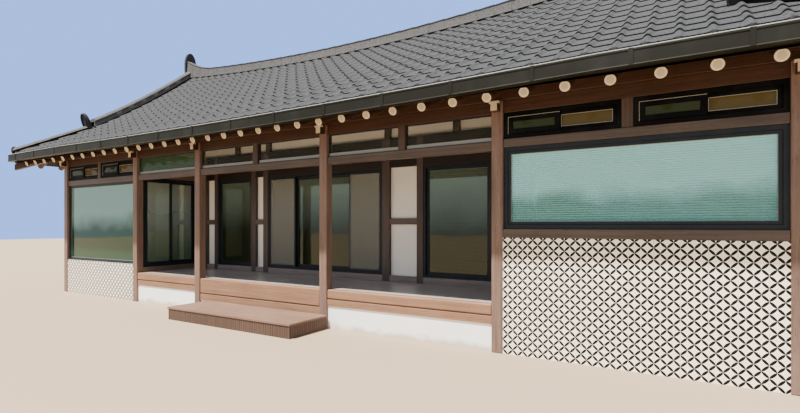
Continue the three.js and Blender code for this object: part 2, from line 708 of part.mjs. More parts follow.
function shortEave(side) {
  const run = grown([behindColumns, BACK - COLUMN], -FIT);
  const solids = [
    wallBlock(side, run, [0, WALL], [EAVE_BOARD[1], PURLIN_TOP]),
    wallBlock(side, run, LINTEL_DEPTH, EAVE_BOARD),
  ];
  for (let number = 0; number < END_RAFTERS; number += 1) {
    const along = (number - (END_RAFTERS - 1) / 2) * END_RAFTER_PITCH;
    const reach = Math.min(RAFTER_END, EAVE_Y - Math.abs(along) - END_JACK_GAP);
    solids.push(rafter(side, along, RAFTER_START, reach));
  }
  return join(solids);
}

addPart('front_eave', longEave('front'), timber);
addPart('back_eave', longEave('back'), timber);
addPart('left_eave', shortEave('left'), timber);
addPart('right_eave', shortEave('right'), timber);

// A glazed leaf: stiles and rails round a thinner pane
function doorLeaf(toBlock, run, depth, height, stile = LEAF_STILE) {
  const middle = (depth[0] + depth[1]) / 2;
  const pane = around(middle, PANE);
  const glazedRun = grown(run, -stile);
  const glazedHeight = grown(height, -stile);
  const front = toBlock(glazedRun, [depth[0] - PASS, pane[0]], glazedHeight);
  const rear = toBlock(glazedRun, [pane[1], depth[1] + PASS], glazedHeight);
  return cut(toBlock(run, depth, height), [front, rear]);
}

// The outer ring of a door or tall window
const clearHeight = grown([DOOR_SILL, DOOR_HEAD], -JAMB);

function frameRing(toBlock, run) {
  const hole = toBlock(grown(run, -JAMB), grown([0, DOOR_DEPTH], PASS), clearHeight);
  return cut(toBlock(run, [0, DOOR_DEPTH], [DOOR_SILL, DOOR_HEAD]), [hole]);
}

// A door frame with two tracks; its fixed leaves stand in the outer track
function doorFrame(toBlock, run, fixedLeaves) {
  const leaves = fixedLeaves.map((leaf) => doorLeaf(toBlock, leaf, TRACKS[0], clearHeight));
  return join([frameRing(toBlock, run), ...leaves]);
}

const movingHeight = [DOOR_SILL + JAMB + FIT, DOOR_HEAD - JAMB - CLEAR];
const movingLeaf = (toBlock, run) => doorLeaf(toBlock, run, TRACKS[1], movingHeight);

// Porch walls of the two rooms: a timber frame with an upper light, and plaster over it
const porchWallRun = [behindColumns, RECESS];
const sideDoorRun = grown(porchWallRun, -SIDE_DOOR_MARGIN);

function porchWallFrame(x) {
  const [front, rear] = porchWallRun;
  const postHeight = [DOOR_HEAD, EAVE_BOARD[1]];
  const solids = [
    block(x, porchWallRun, [FLOOR, DOOR_SILL]),
    block(x, porchWallRun, [DOOR_HEAD, TRANSOM_FOOT]),
    block(x, porchWallRun, EAVE_BOARD),
    block(x, [front, front + TRANSOM_POST], postHeight),
    block(x, [rear - TRANSOM_POST, rear], postHeight),
    block(x, [front, sideDoorRun[0]], [FLOOR, DOOR_HEAD]),
    block(x, [sideDoorRun[1], rear], [FLOOR, DOOR_HEAD]),
    block(around((x[0] + x[1]) / 2, PANE), porchWallRun, postHeight),
  ];
  const upperHeight = [EAVE_BOARD[1] - UPPER_WALL_LAP, UPPER_WALL_TOP];
  solids.push(block(grown(x, -UPPER_WALL_INSET), [front + TRANSOM_POST, rear], upperHeight));
  return cut(join(solids), [mainSlopesUpward, transomGlass(FIT)]);
}

function leftPorchBlock(run, depth, height) {
  const face = leftPorchWallX[1] - SIDE_DOOR_INSET;
  return block([face - depth[1], face - depth[0]], run, height);
}

function rightPorchBlock(run, depth, height) {
  const face = rightPorchWallX[0] + SIDE_DOOR_INSET;
  return block([face + depth[0], face + depth[1]], run, height);
}

const sideClear = grown(sideDoorRun, -JAMB);
const sideLeaf = (sideClear[1] - sideClear[0] + SIDE_LEAF_LAP) / 2;
const sideMiddle = (sideClear[0] + sideClear[1]) / 2;
const sideFixed = [[sideClear[0], sideClear[0] + sideLeaf]];
const sideMoving = [sideClear[1] - sideLeaf, sideClear[1] - CLEAR];
const twoLights = [[sideClear[0], sideMiddle], [sideMiddle, sideClear[1]]];

addPart('left_room_porch_wall', porchWallFrame(leftPorchWallX), timber);
addPart('side_door_frame', doorFrame(leftPorchBlock, sideDoorRun, sideFixed), blackFrame);
addPart('side_door_leaf', movingLeaf(leftPorchBlock, sideMoving), blackFrame);
addPart('right_room_porch_wall', porchWallFrame(rightPorchWallX), timber);
addPart('right_room_porch_window', doorFrame(rightPorchBlock, sideDoorRun, twoLights), blackFrame);

// Recessed porch wall: a timber frame with plaster behind it, open at the doors and tall windows
const recessRun = [leftPorchWallX[0], rightPorchWallX[1]];

function recessFrame() {
  const depth = [0, FRAME_DEPTH];
  const postHeight = [FLOOR, HEADER_TOP];
  const solids = [
    wallBlock('recess', recessRun, depth, [FLOOR, DOOR_SILL]),
    wallBlock('recess', recessRun, depth, [DOOR_HEAD, HEADER_TOP]),
    wallBlock('recess', [recessRun[0], LEFT_END_BOARD_TO], depth, postHeight),
  ];
  for (const run of [...LEFT_POSTS, ...RIGHT_POSTS]) solids.push(wallBlock('recess', run, depth, postHeight));
  for (const run of RAILED_PANELS) solids.push(wallBlock('recess', run, depth, MID_RAIL));
  const [first, last] = grown(recessRun, -HEADER_POST_MARGIN);
  for (const x of [first, COLUMN_X[2], bayCentre(2), COLUMN_X[3], bayCentre(3), last]) {
    solids.push(wallBlock('recess', around(x, HEADER_POST), depth, [HEADER_TOP - PASS, UPPER_WALL_TOP]));
  }
  return join(solids);
}

function recessWall() {
  const slab = wallBlock('recess', recessRun, [FRAME_DEPTH, WALL], [FLOOR, UPPER_WALL_TOP]);
  const openings = [LEFT_TALL_WINDOW, CENTRE_DOOR, RIGHT_TALL_WINDOW];
  const holes = openings.map((run) =>
    wallBlock('recess', run, grown([FRAME_DEPTH, WALL], PASS), [DOOR_SILL, DOOR_HEAD]));
  return cut(slab, holes);
}

addPart('recess_timber_frame', recessFrame(), timber);
addPart('recess_wall', recessWall(), plaster);

// Recessed wall: a sliding door of four leaves between two tall windows with one sash each
function recessBlock(run, depth, height) {
  return wallBlock('recess', run, depth.map((value) => value + RECESS_DOOR_INSET), height);
}

function tallWindow(run) {
  const sash = doorLeaf(recessBlock, grown(run, -JAMB), SASH_DEPTH, clearHeight, SASH_STILE);
  return frameRing(recessBlock, run).add(sash);
}

const [centreLow, centreHigh] = grown(CENTRE_DOOR, -JAMB);
const centreLeaf = (centreHigh - centreLow + 2 * LEAF_LAP) / 4;
const centreMiddle = (centreLow + centreHigh) / 2;
const centreFixed = [[centreLow, centreLow + centreLeaf], [centreHigh - centreLeaf, centreHigh]];
const centreLeft = [centreMiddle - centreLeaf, centreMiddle - MEETING_GAP];
const centreRight = [centreMiddle + MEETING_GAP, centreMiddle + centreLeaf];
addPart('left_tall_window', tallWindow(LEFT_TALL_WINDOW), blackFrame);
addPart('centre_door_frame', doorFrame(recessBlock, CENTRE_DOOR, centreFixed), blackFrame);
addPart('centre_door_leaf_left', movingLeaf(recessBlock, centreLeft), blackFrame);
addPart('centre_door_leaf_right', movingLeaf(recessBlock, centreRight), blackFrame);
addPart('right_tall_window', tallWindow(RIGHT_TALL_WINDOW), blackFrame);

// Back and end walls: plaster behind a timber frame, with framed windows and one glass sheet each
const backWallRun = grown([-SIDE + COLUMN, SIDE - COLUMN], -FIT);
const endWallRun = grown([behindColumns, BACK - COLUMN], -FIT);
const endWall = { run: endWallRun, posts: END_WALL_POSTS, windows: [1] };
const WALLS = {
  back: { run: backWallRun, posts: COLUMN_X.slice(1, 5), windows: [0, 2, 4] },
  left: endWall,
  right: endWall,
};

function windowRuns(wall) {
  const edges = [wall.run[0], ...wall.posts.flatMap((x) => around(x, POST)), wall.run[1]];
  return wall.windows.map((bay) => grown([edges[2 * bay], edges[2 * bay + 1]], -WINDOW_MARGIN));
}

function wallFrame(side) {
  const wall = WALLS[side];
  const depth = [0, FRAME_DEPTH];
  const postHeight = [BASE_TOP, EAVE_BOARD[0]];
  const rails = [BOTTOM_RAIL, SILL_RAIL, HEAD_RAIL];
  const solids = rails.map((height) => wallBlock(side, wall.run, depth, height));
  solids.push(...wall.posts.map((x) => wallBlock(side, around(x, POST), depth, postHeight)));
  if (side === 'back') {
    solids.push(...bothEnds.map((end) => cornerPost(end, 0, [0, EAVE_BOARD[1]])));
    solids.push(...wall.run.map((x) => wallBlock(side, around(x, 2 * PASS), depth, BOTTOM_RAIL)));
  } else {
    solids.push(wallBlock(side, [wall.run[0], wall.run[0] + EDGE_POST], depth, postHeight));
    solids.push(wallBlock(side, [wall.run[1] - EDGE_POST, wall.run[1]], depth, postHeight));
  }
  return join(solids);
}

function wallSlab(side) {
  const wall = WALLS[side];
  const depth = [FRAME_DEPTH, WALL];
  const holes = windowRuns(wall).map((run) => wallBlock(side, run, grown(depth, PASS), WINDOW_HEIGHT));
  return cut(wallBlock(side, wall.run, depth, [BASE_TOP, EAVE_BOARD[0]]), holes);
}

function wallGlass(side) {
  const runs = windowRuns(WALLS[side]);
  const run = grown([runs[0][0], runs[runs.length - 1][1]], SHEET_LAP);
  return wallBlock(side, run, [WALL, WALL + SHEET], grown(WINDOW_HEIGHT, SHEET_LAP));
}

for (const side of ['back', 'left', 'right']) {
  addPart(`${side}_wall`, wallSlab(side), plaster);
  addPart(`${side}_timber_frame`, wallFrame(side), timber);
  addPart(`${side}_window_glass`, wallGlass(side), glass);
}

export default house;
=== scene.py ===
import math
from itertools import pairwise

import bmesh
import bpy
import numpy as np
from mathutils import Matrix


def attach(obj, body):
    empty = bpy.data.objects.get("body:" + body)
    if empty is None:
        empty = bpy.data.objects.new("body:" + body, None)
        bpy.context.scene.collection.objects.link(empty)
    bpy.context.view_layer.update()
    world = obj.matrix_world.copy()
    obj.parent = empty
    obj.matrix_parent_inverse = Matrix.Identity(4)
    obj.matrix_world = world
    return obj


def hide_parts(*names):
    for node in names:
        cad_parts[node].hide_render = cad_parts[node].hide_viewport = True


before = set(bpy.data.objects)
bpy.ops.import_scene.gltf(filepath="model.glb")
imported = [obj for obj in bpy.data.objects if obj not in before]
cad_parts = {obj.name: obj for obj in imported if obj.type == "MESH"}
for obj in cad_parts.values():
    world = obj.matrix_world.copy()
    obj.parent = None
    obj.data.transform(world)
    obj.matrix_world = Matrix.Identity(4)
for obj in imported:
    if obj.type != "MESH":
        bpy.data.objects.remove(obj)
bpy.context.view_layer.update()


# Camera and studio: a person's eye height in front of the right-hand room, looking along the porch.
# The view is level, so upright edges stay upright, and the lens is only shifted up a little.
def add_object(name, data):
    """An object at the origin for a mesh, a light or a camera."""
    made = bpy.data.objects.new(name, data)
    bpy.context.scene.collection.objects.link(made)
    return made


def feed(node, inputs):
    """Links or sets a node's inputs, given by name or number. A colour is given without its alpha."""
    for name, value in inputs.items():
        if isinstance(value, bpy.types.NodeSocket):
            node.id_data.links.new(value, node.inputs[name])
        else:
            node.inputs[name].default_value = (*value, 1) if isinstance(value, tuple) else value


def add_node(kind, inputs=None, output=0, tree=None, **settings):
    """Adds a node to the tree of its linked inputs, sets its attributes and feeds its inputs. Gives
    back one of its outputs."""
    inputs = inputs or {}
    linked = [value for value in inputs.values() if isinstance(value, bpy.types.NodeSocket)]
    made = (tree or linked[0].id_data).nodes.new("ShaderNode" + kind)
    for name, value in settings.items():
        setattr(made, name, value)
    feed(made, inputs)
    return made.outputs[output]


camera_data = bpy.data.cameras.new("camera")
camera_data.sensor_width = 36.0
camera_data.lens = 21.74
camera_data.shift_y = 0.0231
camera = add_object("camera", camera_data)
camera.location = (6.2, -9.22, 1.65)
camera.rotation_euler = (math.radians(90), 0, math.radians(31.13))
bpy.context.scene.camera = camera

reach = 60.0
floor_corners = [(-reach, -reach, 0), (reach, -reach, 0), (reach, reach, 0), (-reach, reach, 0)]
floor_mesh = bpy.data.meshes.new("studio_floor")
floor_mesh.from_pydata(floor_corners, [], [(0, 1, 2, 3)])
floor = add_object("studio_floor", floor_mesh)
floor_paint = bpy.data.materials.new("studio floor")
floor_paint.use_nodes = True
floor_look = {"Base Color": (0.38, 0.278, 0.182), "Roughness": 0.9}
feed(floor_paint.node_tree.nodes["Principled BSDF"], floor_look)
floor_mesh.materials.append(floor_paint)

sun_data = bpy.data.lights.new("sun", "SUN")
sun_data.energy = 15.0
sun_data.angle = math.radians(1.8)
sun_data.color = (1.0, 0.95, 0.88)
sun = add_object("sun", sun_data)
sun.rotation_euler = (math.radians(24), math.radians(-8), 0)

studio = bpy.data.worlds.new("studio")
studio.use_nodes = True
studio_tree = studio.node_tree
soft_light = studio_tree.nodes["Background"]
feed(soft_light, {"Color": (0.84, 0.92, 1.0), "Strength": 1.2})
backdrop = add_node("Background", {"Color": (0.43, 0.80, 1.85)}, tree=studio_tree)
seen = add_node("LightPath", output="Is Camera Ray", tree=studio_tree)
chosen = add_node("MixShader", {0: seen, 1: soft_light.outputs[0], 2: backdrop})
feed(studio_tree.nodes["World Output"], {"Surface": chosen})
bpy.context.scene.world = studio


# Masonry skirt, panels, gables and outer walls: lime plaster trowelled white over block and board.
# The trowel leaves it faintly uneven, and rain splash soils the lowest hand's breadth of the skirt.
def calculate(operation, first, second=0.0, third=0.0):
    """One arithmetic step between sockets or numbers."""
    return add_node("Math", {0: first, 1: second, 2: third}, operation=operation)


def mix_colours(share, first, second):
    """Colour first where share is 0 and second where it is 1."""
    return add_node("Mix", {0: share, 6: first, 7: second}, 2, data_type="RGBA")


def toned(colour, factor):
    """A colour made darker or lighter by a factor."""
    return tuple(factor * part for part in colour)


def noise(place, scale, detail=3.0, roughness=0.5):
    """Cloudy noise between 0 and 1."""
    sockets = {"Vector": place, "Scale": scale, "Detail": detail, "Roughness": roughness}
    return add_node("TexNoise", sockets)


def spread(value, low, high):
    """Stretches the part of a value between low and high to 0 and 1."""
    return add_node("MapRange", {"Value": value, "From Min": low, "From Max": high})


def new_paint(name, roughness, metallic=0.0, gloss=0.5, alpha=1.0):
    """A material, and the place on the object that its patterns read."""
    paint = bpy.data.materials.new(name)
    paint.use_nodes = True
    look = {"Roughness": roughness, "Metallic": metallic, "Specular IOR Level": gloss, "Alpha": alpha}
    feed(paint.node_tree.nodes["Principled BSDF"], look)
    return paint, add_node("TexCoord", output="Object", tree=paint.node_tree)


def finished(paint, colour, height, depth):
    """The material with its colour, and with a bump of height (0 to 1) times depth in metres."""
    bump = add_node("Bump", {"Height": height, "Distance": depth, "Strength": 1.0}, "Normal")
    feed(paint.node_tree.nodes["Principled BSDF"], {"Base Color": colour, "Normal": bump})
    return paint


def plaster_paint(name, clean, soiled, soil_height):
    """Trowelled plaster: cloudy tone, fine grain, and soil that fades out above soil_height."""
    paint, place = new_paint(name, 0.9, gloss=0.3)
    tone = mix_colours(spread(noise(place, 1.7, 4.0), 0.3, 0.7), clean, toned(clean, 0.93))
    height = add_node("SeparateXYZ", {0: place}, "Z")
    splash = calculate("ADD", height, calculate("MULTIPLY", noise(place, 6.0), -0.18))
    soil_and_shade = spread(splash, soil_height - 0.1, soil_height * 0.2 - 0.1)
    grain = calculate("ADD", noise(place, 9.0), noise(place, 260.0, 2.0))
    return finished(paint, mix_colours(soil_and_shade, tone, soiled), grain, 0.0022)


def cover(paint, *names):
    """Puts a finish on CAD nodes that are shown as they are."""
    for name in names:
        for material_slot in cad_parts[name].material_slots:
            material_slot.material = paint


white_plaster = plaster_paint("white plaster", (0.93, 0.93, 0.92), (0.55, 0.50, 0.43), 0.12)
panel_plaster = plaster_paint("panel plaster", (0.75, 0.74, 0.70), (0.70, 0.68, 0.62), 0.3)
cover(white_plaster, "foundation")
cover(panel_plaster, "recess_wall", "back_wall", "left_wall", "right_wall", "gable_left", "gable_right")


# Timber of the frame: pine posts, beams and boards, planed, chamfered and stained reddish brown.
# The grain runs along each piece, so there is one stain for uprights and one for each way across.
def timber_paint(name, grain, light, dark, roughness=0.42, gloss=0.25):
    """Stained wood: streaks long along the grain axis and short across it, pores, and slow tone."""
    paint, place = new_paint(name, roughness, gloss=gloss)
    stretch = [26.0, 26.0, 26.0]
    stretch["XYZ".index(grain)] = 1.1
    along = add_node("Mapping", {"Vector": place, "Scale": stretch})
    streak = noise(along, 1.0, 6.0, 0.62)
    pore = noise(along, 9.0, 2.0)
    tone = calculate("MULTIPLY_ADD", noise(place, 1.3, 2.0), 0.35, calculate("MULTIPLY", streak, 0.8))
    colour = mix_colours(spread(tone, 0.38, 0.80), light, dark)
    colour = mix_colours(spread(pore, 0.62, 0.72), colour, toned(dark, 0.55))
    return finished(paint, colour, calculate("ADD", streak, pore), 0.0012)


stain = ((0.195, 0.128, 0.100), (0.097, 0.061, 0.047))
timber_up = timber_paint("stained timber upright", "Z", *stain)
timber_across = timber_paint("stained timber lengthways", "X", *stain)
timber_deep = timber_paint("stained timber front to back", "Y", *stain)


def skin(rings, closed=False):
    """Quads between neighbouring outlines of an array (stations, points, 3). A closed run joins the
    last outline to the first; an open one is shut by a flat face over each end."""
    count, points = rings.shape[:2]
    station = np.arange(count if closed else count - 1)[:, None]
    here = np.arange(points)[None, :]
    after = (here + 1) % points
    follow = ((station + 1) % count) * points
    station = station * points
    quads = np.stack([station + here, station + after, follow + after, follow + here], -1)
    faces = quads.reshape(-1, 4).tolist()
    if not closed:
        faces.append(list(range(points))[::-1])
        faces.append(list(range((count - 1) * points, count * points)))
    return rings.reshape(-1, 3), faces


def make_piece(name, shells, paint, replaces=(), body="house", smooth=35.0):
    """Joins closed shells into one mesh at the origin, turns their faces outwards, smooths edges
    flatter than the angle, and lets the piece ride on a body of the CAD frame."""
    points = np.concatenate([shell[0] for shell in shells])
    faces = []
    offset = 0
    for part_points, part_faces in shells:
        faces += [[corner + offset for corner in face] for face in part_faces]
        offset += len(part_points)
    mesh = bpy.data.meshes.new(name)
    mesh.from_pydata(points.tolist(), [], faces)
    work = bmesh.new()
    work.from_mesh(mesh)
    bmesh.ops.recalc_face_normals(work, faces=work.faces)
    work.to_mesh(mesh)
    work.free()
    mesh.shade_smooth()
    mesh.set_sharp_from_angle(angle=math.radians(smooth))
    mesh.materials.append(paint)
    piece = add_object(name, mesh)
    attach(piece, body)
    if replaces:
        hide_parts(*replaces)
    return piece


def beam(x, y, z, along, edge=0.005):
    """A planed beam: a rectangle with its corners cut by edge, carried along one axis, and drawn in
    by the same edge at both ends. x, y and z are its low and high in metres."""
    axis = "XYZ".index(along)
    first, second = (axis + 1) % 3, (axis + 2) % 3
    low, high = np.array([x, y, z], float).T
    inset = np.array([edge, 0, 0, edge])
    a0, a1 = low[first] + inset, high[first] - inset
    b0, b1 = low[second] + inset, high[second] - inset
    rings = np.empty((4, 8, 3))
    rings[..., axis] = np.array([low[axis], low[axis] + edge, high[axis] - edge, high[axis]])[:, None]
    rings[..., first] = np.stack([a0 + edge, a1 - edge, a1, a1, a1 - edge, a0 + edge, a0, a0], -1)
    rings[..., second] = np.stack([b0, b0, b0 + edge, b1 - edge, b1, b1, b1 - edge, b0 + edge], -1)
    return skin(rings)


def around(middle, half):
    """A span of the given half width about its middle."""
    return (middle - half, middle + half)


def inside(span, by):
    """A span drawn in at both ends."""
    return (span[0] + by, span[1] - by)


column_x = [-7.100, -4.100, -2.000, 1.150, 4.050, 7.100]
column_half = 0.075
column_head = 3.25
for number, x in enumerate(column_x, start=1):
    shaft = beam(around(x, column_half), (-3.25, -3.10), (0, column_head), "Z", 0.009)
    name = f"front_column_{number}"
    make_piece(name + "_shaft", [shaft], timber_up, replaces=[name])

# Lintel between the columns, short posts over it, and the sill under the right-hand window.
# They are let into the columns, with their faces a little behind the columns' own; their darker stains are
# painted shade.
lintel_shade_stain = timber_paint("lintel painted shade", "X", (0.092, 0.070, 0.058), (0.043, 0.032, 0.026))
post_shade_stain = timber_paint("transom post painted shade", "Z", (0.080, 0.050, 0.038), (0.038, 0.024, 0.018))
bays = [inside(span, column_half) for span in pairwise(column_x)]
lintel_z = (2.615, 2.735)
right_lintel_z = (2.647, 2.754)
lintels = [lintel_z] * 4 + [right_lintel_z]
sill_z = (1.487, 1.60)
post_half = 0.06
eave_board_foot = 3.09
lintel_beams, post_beams = [], []
for bay, (between, level) in enumerate(zip(bays, lintels)):
    lintel_beams.append(beam(between, (-3.225, -3.125), level, "X", 0.006))
    if bay != 1:
        post_z = (level[1], eave_board_foot)
        post_beams.append(beam(around(sum(between) / 2, post_half), (-3.22, -3.13), post_z, "Z"))
lintel_beams.append(beam(bays[4], (-3.238, -3.115), sill_z, "X", 0.006))
make_piece("front_lintel_beams", lintel_beams, lintel_shade_stain, replaces=["front_lintel", "right_room_sill"])
make_piece("transom_posts", post_beams, post_shade_stain)

# Porch floor: varnished boards laid along the porch, tongued together with a fine open joint.
# The edge board in front of them has a rounded nosing over a dark groove and a second, lower board.
deck_stain = timber_paint("porch deck varnish", "X", (0.50, 0.435, 0.41), (0.30, 0.255, 0.24), 0.26, 0.6)
porch_floor = 0.62
deck_boards = []
for row, width in enumerate(pairwise(np.linspace(-3.10, -1.75, 10))):
    for run in pairwise((-4.03, -1.1 + 0.9 * (row % 3), 3.98)):
        deck_boards.append(beam(inside(run, 0.0008), inside(width, 0.001), (0.50, porch_floor), "X", 0.003))
make_piece("porch_deck_boards", deck_boards, deck_stain, ["porch_deck"])
room_boards = timber_paint("room floor boards", "X", (0.36, 0.22, 0.12), (0.25, 0.14, 0.07), 0.35)
cover(room_boards, "room_floor")

porch_edge_stain = timber_paint("porch edge stain", "X", (0.275, 0.152, 0.092), (0.155, 0.083, 0.048), 0.5)
edge_boards, groove_boards = [], []
for run, upper_foot, lower_foot in zip(bays[1:4], (0.478, 0.340, 0.478), (0.36, 0.20, 0.36)):
    edge_boards.append(beam(run, (-3.235, -3.09), (upper_foot, porch_floor), "X", 0.014))
    edge_boards.append(beam(run, (-3.229, -3.11), (lower_foot, upper_foot - 0.014), "X", 0.004))
    groove_boards.append(beam(run, (-3.205, -3.12), (upper_foot - 0.03, upper_foot + 0.02), "X", 0.002))
make_piece("porch_edge_boards", edge_boards, porch_edge_stain, replaces=["porch_edge_board"])
make_piece("porch_edge_groove", groove_boards, timber_across)

# Porch step: a low platform of composite boards, its top boards overhanging a skirt of upright slats.
# Fine grooves run along each board, and the slats show as narrow ribs.
step_stain = timber_paint("step board stain", "X", (0.225, 0.140, 0.098), (0.130, 0.076, 0.052), 0.55)
step_rib_stain = timber_paint("step skirt stain", "Z", (0.096, 0.060, 0.045), (0.062, 0.037, 0.027), 0.6)
step_x = (-1.65, 1.25)
step_y = (-4.10, -3.25)
step_joint = 0.0015
step_boards = []
for row in pairwise(np.linspace(*step_y, 7)):
    step_boards.append(beam(step_x, inside(row, step_joint), (0.190, 0.220), "X", 0.003))
make_piece("step_top_boards", step_boards, step_stain, replaces=["porch_step"])


def slats(start, end, at, across):
    """A row of upright slats 25 mm thick from start to end, about 48 mm apart, with open joints."""
    made = []
    for span in pairwise(np.linspace(start, end, round((end - start) / 0.048) + 1)):
        run, face = inside(span, step_joint), (at, at + 0.025)
        made.append(beam(*((run, face) if across else (face, run)), (0, 0.19), "Z", 0.003))
    return made


skirt_x = inside(step_x, 0.015)
skirt_y = step_y[0] + 0.015
skirt = slats(*skirt_x, skirt_y, True)
for side_x in (skirt_x[0], skirt_x[1] - 0.025):
    skirt += slats(skirt_y + 0.026, step_y[1], side_x, False)
make_piece("step_skirt_slats", skirt, step_rib_stain)


# Parapets under the room windows: glazed tiles printed with overlapping circles in charcoal on cream.
# Where circles overlap they leave slim petals on both diagonals, with a faint flower in each cell.
def petal_tile_paint():
    """Turned by 45 degrees, the cells form a square net of side cell. A petal lies on each edge of
    the net: its half width falls from petal_half at the middle to nothing just before the knots."""
    paint, place = new_paint("petal pattern tile", 0.3, gloss=0.12)
    pitch = 0.127
    cell = pitch / math.sqrt(2)
    petal_half = 0.0147
    parts = [add_node("SeparateXYZ", {0: place}, axis) for axis in "XZ"]
    turned = [calculate(way, *parts) for way in ("ADD", "SUBTRACT")]
    cells = [calculate("FRACT", calculate("DIVIDE", t, pitch)) for t in turned]
    from_middle = [calculate("ABSOLUTE", calculate("SUBTRACT", c, 0.5)) for c in cells]
    petals = []
    for across, along in (from_middle, from_middle[::-1]):
        fall = calculate("MULTIPLY", calculate("POWER", along, 3.0), -8.0)
        half = calculate("MULTIPLY", calculate("ADD", fall, 1.0), petal_half / cell)
        from_edge = calculate("SUBTRACT", 0.5, across)
        petals.append(spread(calculate("SUBTRACT", half, from_edge), -0.012, 0.012))
    petal = calculate("MAXIMUM", *petals)
    squares = [calculate("POWER", m, 2.0) for m in from_middle]
    radius = calculate("SQRT", calculate("ADD", *squares))
    flower = spread(calculate("ABSOLUTE", calculate("SUBTRACT", radius, 0.13)), 0.035, 0.015)
    tone = spread(noise(place, 7.0, 3.0), 0.35, 0.65)
    cream = mix_colours(tone, (0.98, 0.92, 0.80), (0.94, 0.87, 0.74))
    marked = mix_colours(calculate("MULTIPLY", flower, 0.24), cream, (0.36, 0.33, 0.31))
    inked = mix_colours(petal, marked, (0.006, 0.0045, 0.004))
    joints = []
    for part in parts:
        step = calculate("FRACT", calculate("DIVIDE", part, 2 * pitch))
        joints.append(spread(calculate("ABSOLUTE", calculate("SUBTRACT", step, 0.5)), 0.4915, 0.4945))
    joint = calculate("MAXIMUM", *joints)
    grouted = mix_colours(calculate("MULTIPLY", joint, 0.75), inked, (0.55, 0.53, 0.50))
    sunk = calculate("MAXIMUM", joint, calculate("MULTIPLY", petal, 0.35))
    return finished(paint, grouted, calculate("SUBTRACT", 1.0, sunk), 0.0012)


cover(petal_tile_paint(), "left_room_tile_wall", "right_room_tile_wall")


# Porch end walls of the two rooms: a door sill, a head rail and an upper light in a stained frame.
# Posts are nailed to the columns in front and to the recessed wall behind, with plaster over them.
def on_wall(facing, face):
    """Gives a function that turns runs along a wall, heights and depths behind its face into points."""
    inward = 1 if facing in ("front", "left") else -1

    def place(run, height, depth):
        run, height, depth = np.broadcast_arrays(run, height, np.asarray(depth, float))
        across = face + inward * depth
        order = [run, across, height] if facing in ("front", "back") else [across, run, height]
        return np.stack(order, -1)
    return place


def rectangle(run, height, inset):
    """Runs and heights of the four corners of a rectangle, drawn in by each inset."""
    runs = np.array(run)[[0, 1, 1, 0]] + inset[:, None] * np.array([1, -1, -1, 1])
    return runs, np.array(height)[[0, 0, 1, 1]] + inset[:, None] * np.array([1, 1, -1, -1])


def plate(place, run, height, depth, edge=0.001):
    """A flat board on a wall: a rectangle carried through its depth, drawn in by edge at both faces."""
    runs, heights = rectangle(run, height, np.array([edge, 0, 0, edge]))
    depths = np.array([depth[0], depth[0] + edge, depth[1] - edge, depth[1]])
    return skin(place(runs, heights, depths[:, None]))


def ring_frame(place, run, height, profile):
    """A mitred frame: a closed profile of (inset from the outer edge, depth) carried round the four
    corners of a rectangle on a wall."""
    inset, depth = np.array(profile).T
    runs, heights = rectangle(run, height, inset)
    return skin(place(runs.T, heights.T, depth[None, :]), closed=True)


door_z = (0.73, 2.70)
end_light_z = (2.82, eave_board_foot)
porch_levels = ((porch_floor, door_z[0]), (door_z[1], end_light_z[0]), (end_light_z[1], column_head))
porch_posts = ((-3.10, -3.04), (-1.81, -1.75))
porch_ends = {"left": on_wall("right", -4.03), "right": on_wall("left", 3.98)}
for side, place in porch_ends.items():
    across = [plate(place, (-3.10, -1.75), level, (0, 0.14), 0.004) for level in porch_levels]
    upright = [plate(place, run, end_light_z, (0.002, 0.138), 0.003) for run in porch_posts]
    make_piece(f"{side}_porch_rails", across, timber_deep, replaces=[f"{side}_room_porch_wall"])
    make_piece(f"{side}_porch_posts", upright, timber_up)
    over = plate(place, (-3.04, -1.75), (column_head, 3.95), (0.02, 0.12), 0.0015)
    make_piece(f"{side}_porch_upper_panel", [over], panel_plaster)

# Recessed porch wall: stained posts and rails framing plaster panels, a wide door and two windows.
# The deep header over the doors carries short posts up to the roof.
recess = on_wall("front", -1.75)
# The recess posts and rails take darker copies of the frame stain: painted shade deep in the porch.
recess_shaded_up = timber_paint("recess painted shade upright", "Z", (0.082, 0.058, 0.050), (0.040, 0.028, 0.024))
recess_shaded_across = timber_paint("recess painted shade lengthways", "X", (0.110, 0.082, 0.074), (0.056, 0.041, 0.036))
# The header's near-black stain is painted shade under the eave.
header_shade_stain = timber_paint("recess header painted shade", "X", (0.020, 0.0125, 0.0085), (0.009, 0.0055, 0.004))
foot_stain = timber_paint("recess foot rail stain", "X", (0.24, 0.185, 0.175), (0.125, 0.098, 0.093))
recess_x = (-4.17, 4.12)
recess_posts = [(-4.17, -3.68), (-3.41, -3.30), (-2.17, -2.03), (-1.80, -1.65)]
recess_posts += [(1.30, 1.46), (2.03, 2.16), (3.42, 3.55), (3.85, 3.98)]
header_top = 3.24
post_depth, rail_depth = (0, 0.07), (0.004, 0.066)
upright = [plate(recess, run, (porch_floor, header_top), post_depth, 0.004) for run in recess_posts]
for x in (-4.11, -2.64, -1.66, 1.41, 2.79, 4.06):
    upright.append(plate(recess, around(x, post_half), (header_top, 4.2), post_depth, 0.004))
foot_rail = plate(recess, recess_x, porch_levels[0], rail_depth, 0.003)
make_piece("recess_foot_rail", [foot_rail], foot_stain)
header = [plate(recess, recess_x, (door_z[1], 2.99), rail_depth, 0.003)]
header.append(plate(recess, recess_x, (2.993, header_top - 0.004), (0.006, 0.066), 0.003))
make_piece("recess_header", header, header_shade_stain)
panel_runs = ((-3.68, -3.41), (-2.03, -1.80), (1.46, 2.03), (3.55, 3.85))
across = [plate(recess, run, (1.66, 1.77), rail_depth, 0.003) for run in panel_runs]
make_piece("recess_posts", upright, recess_shaded_up, replaces=["recess_timber_frame"])
make_piece("recess_rails", across, recess_shaded_across)
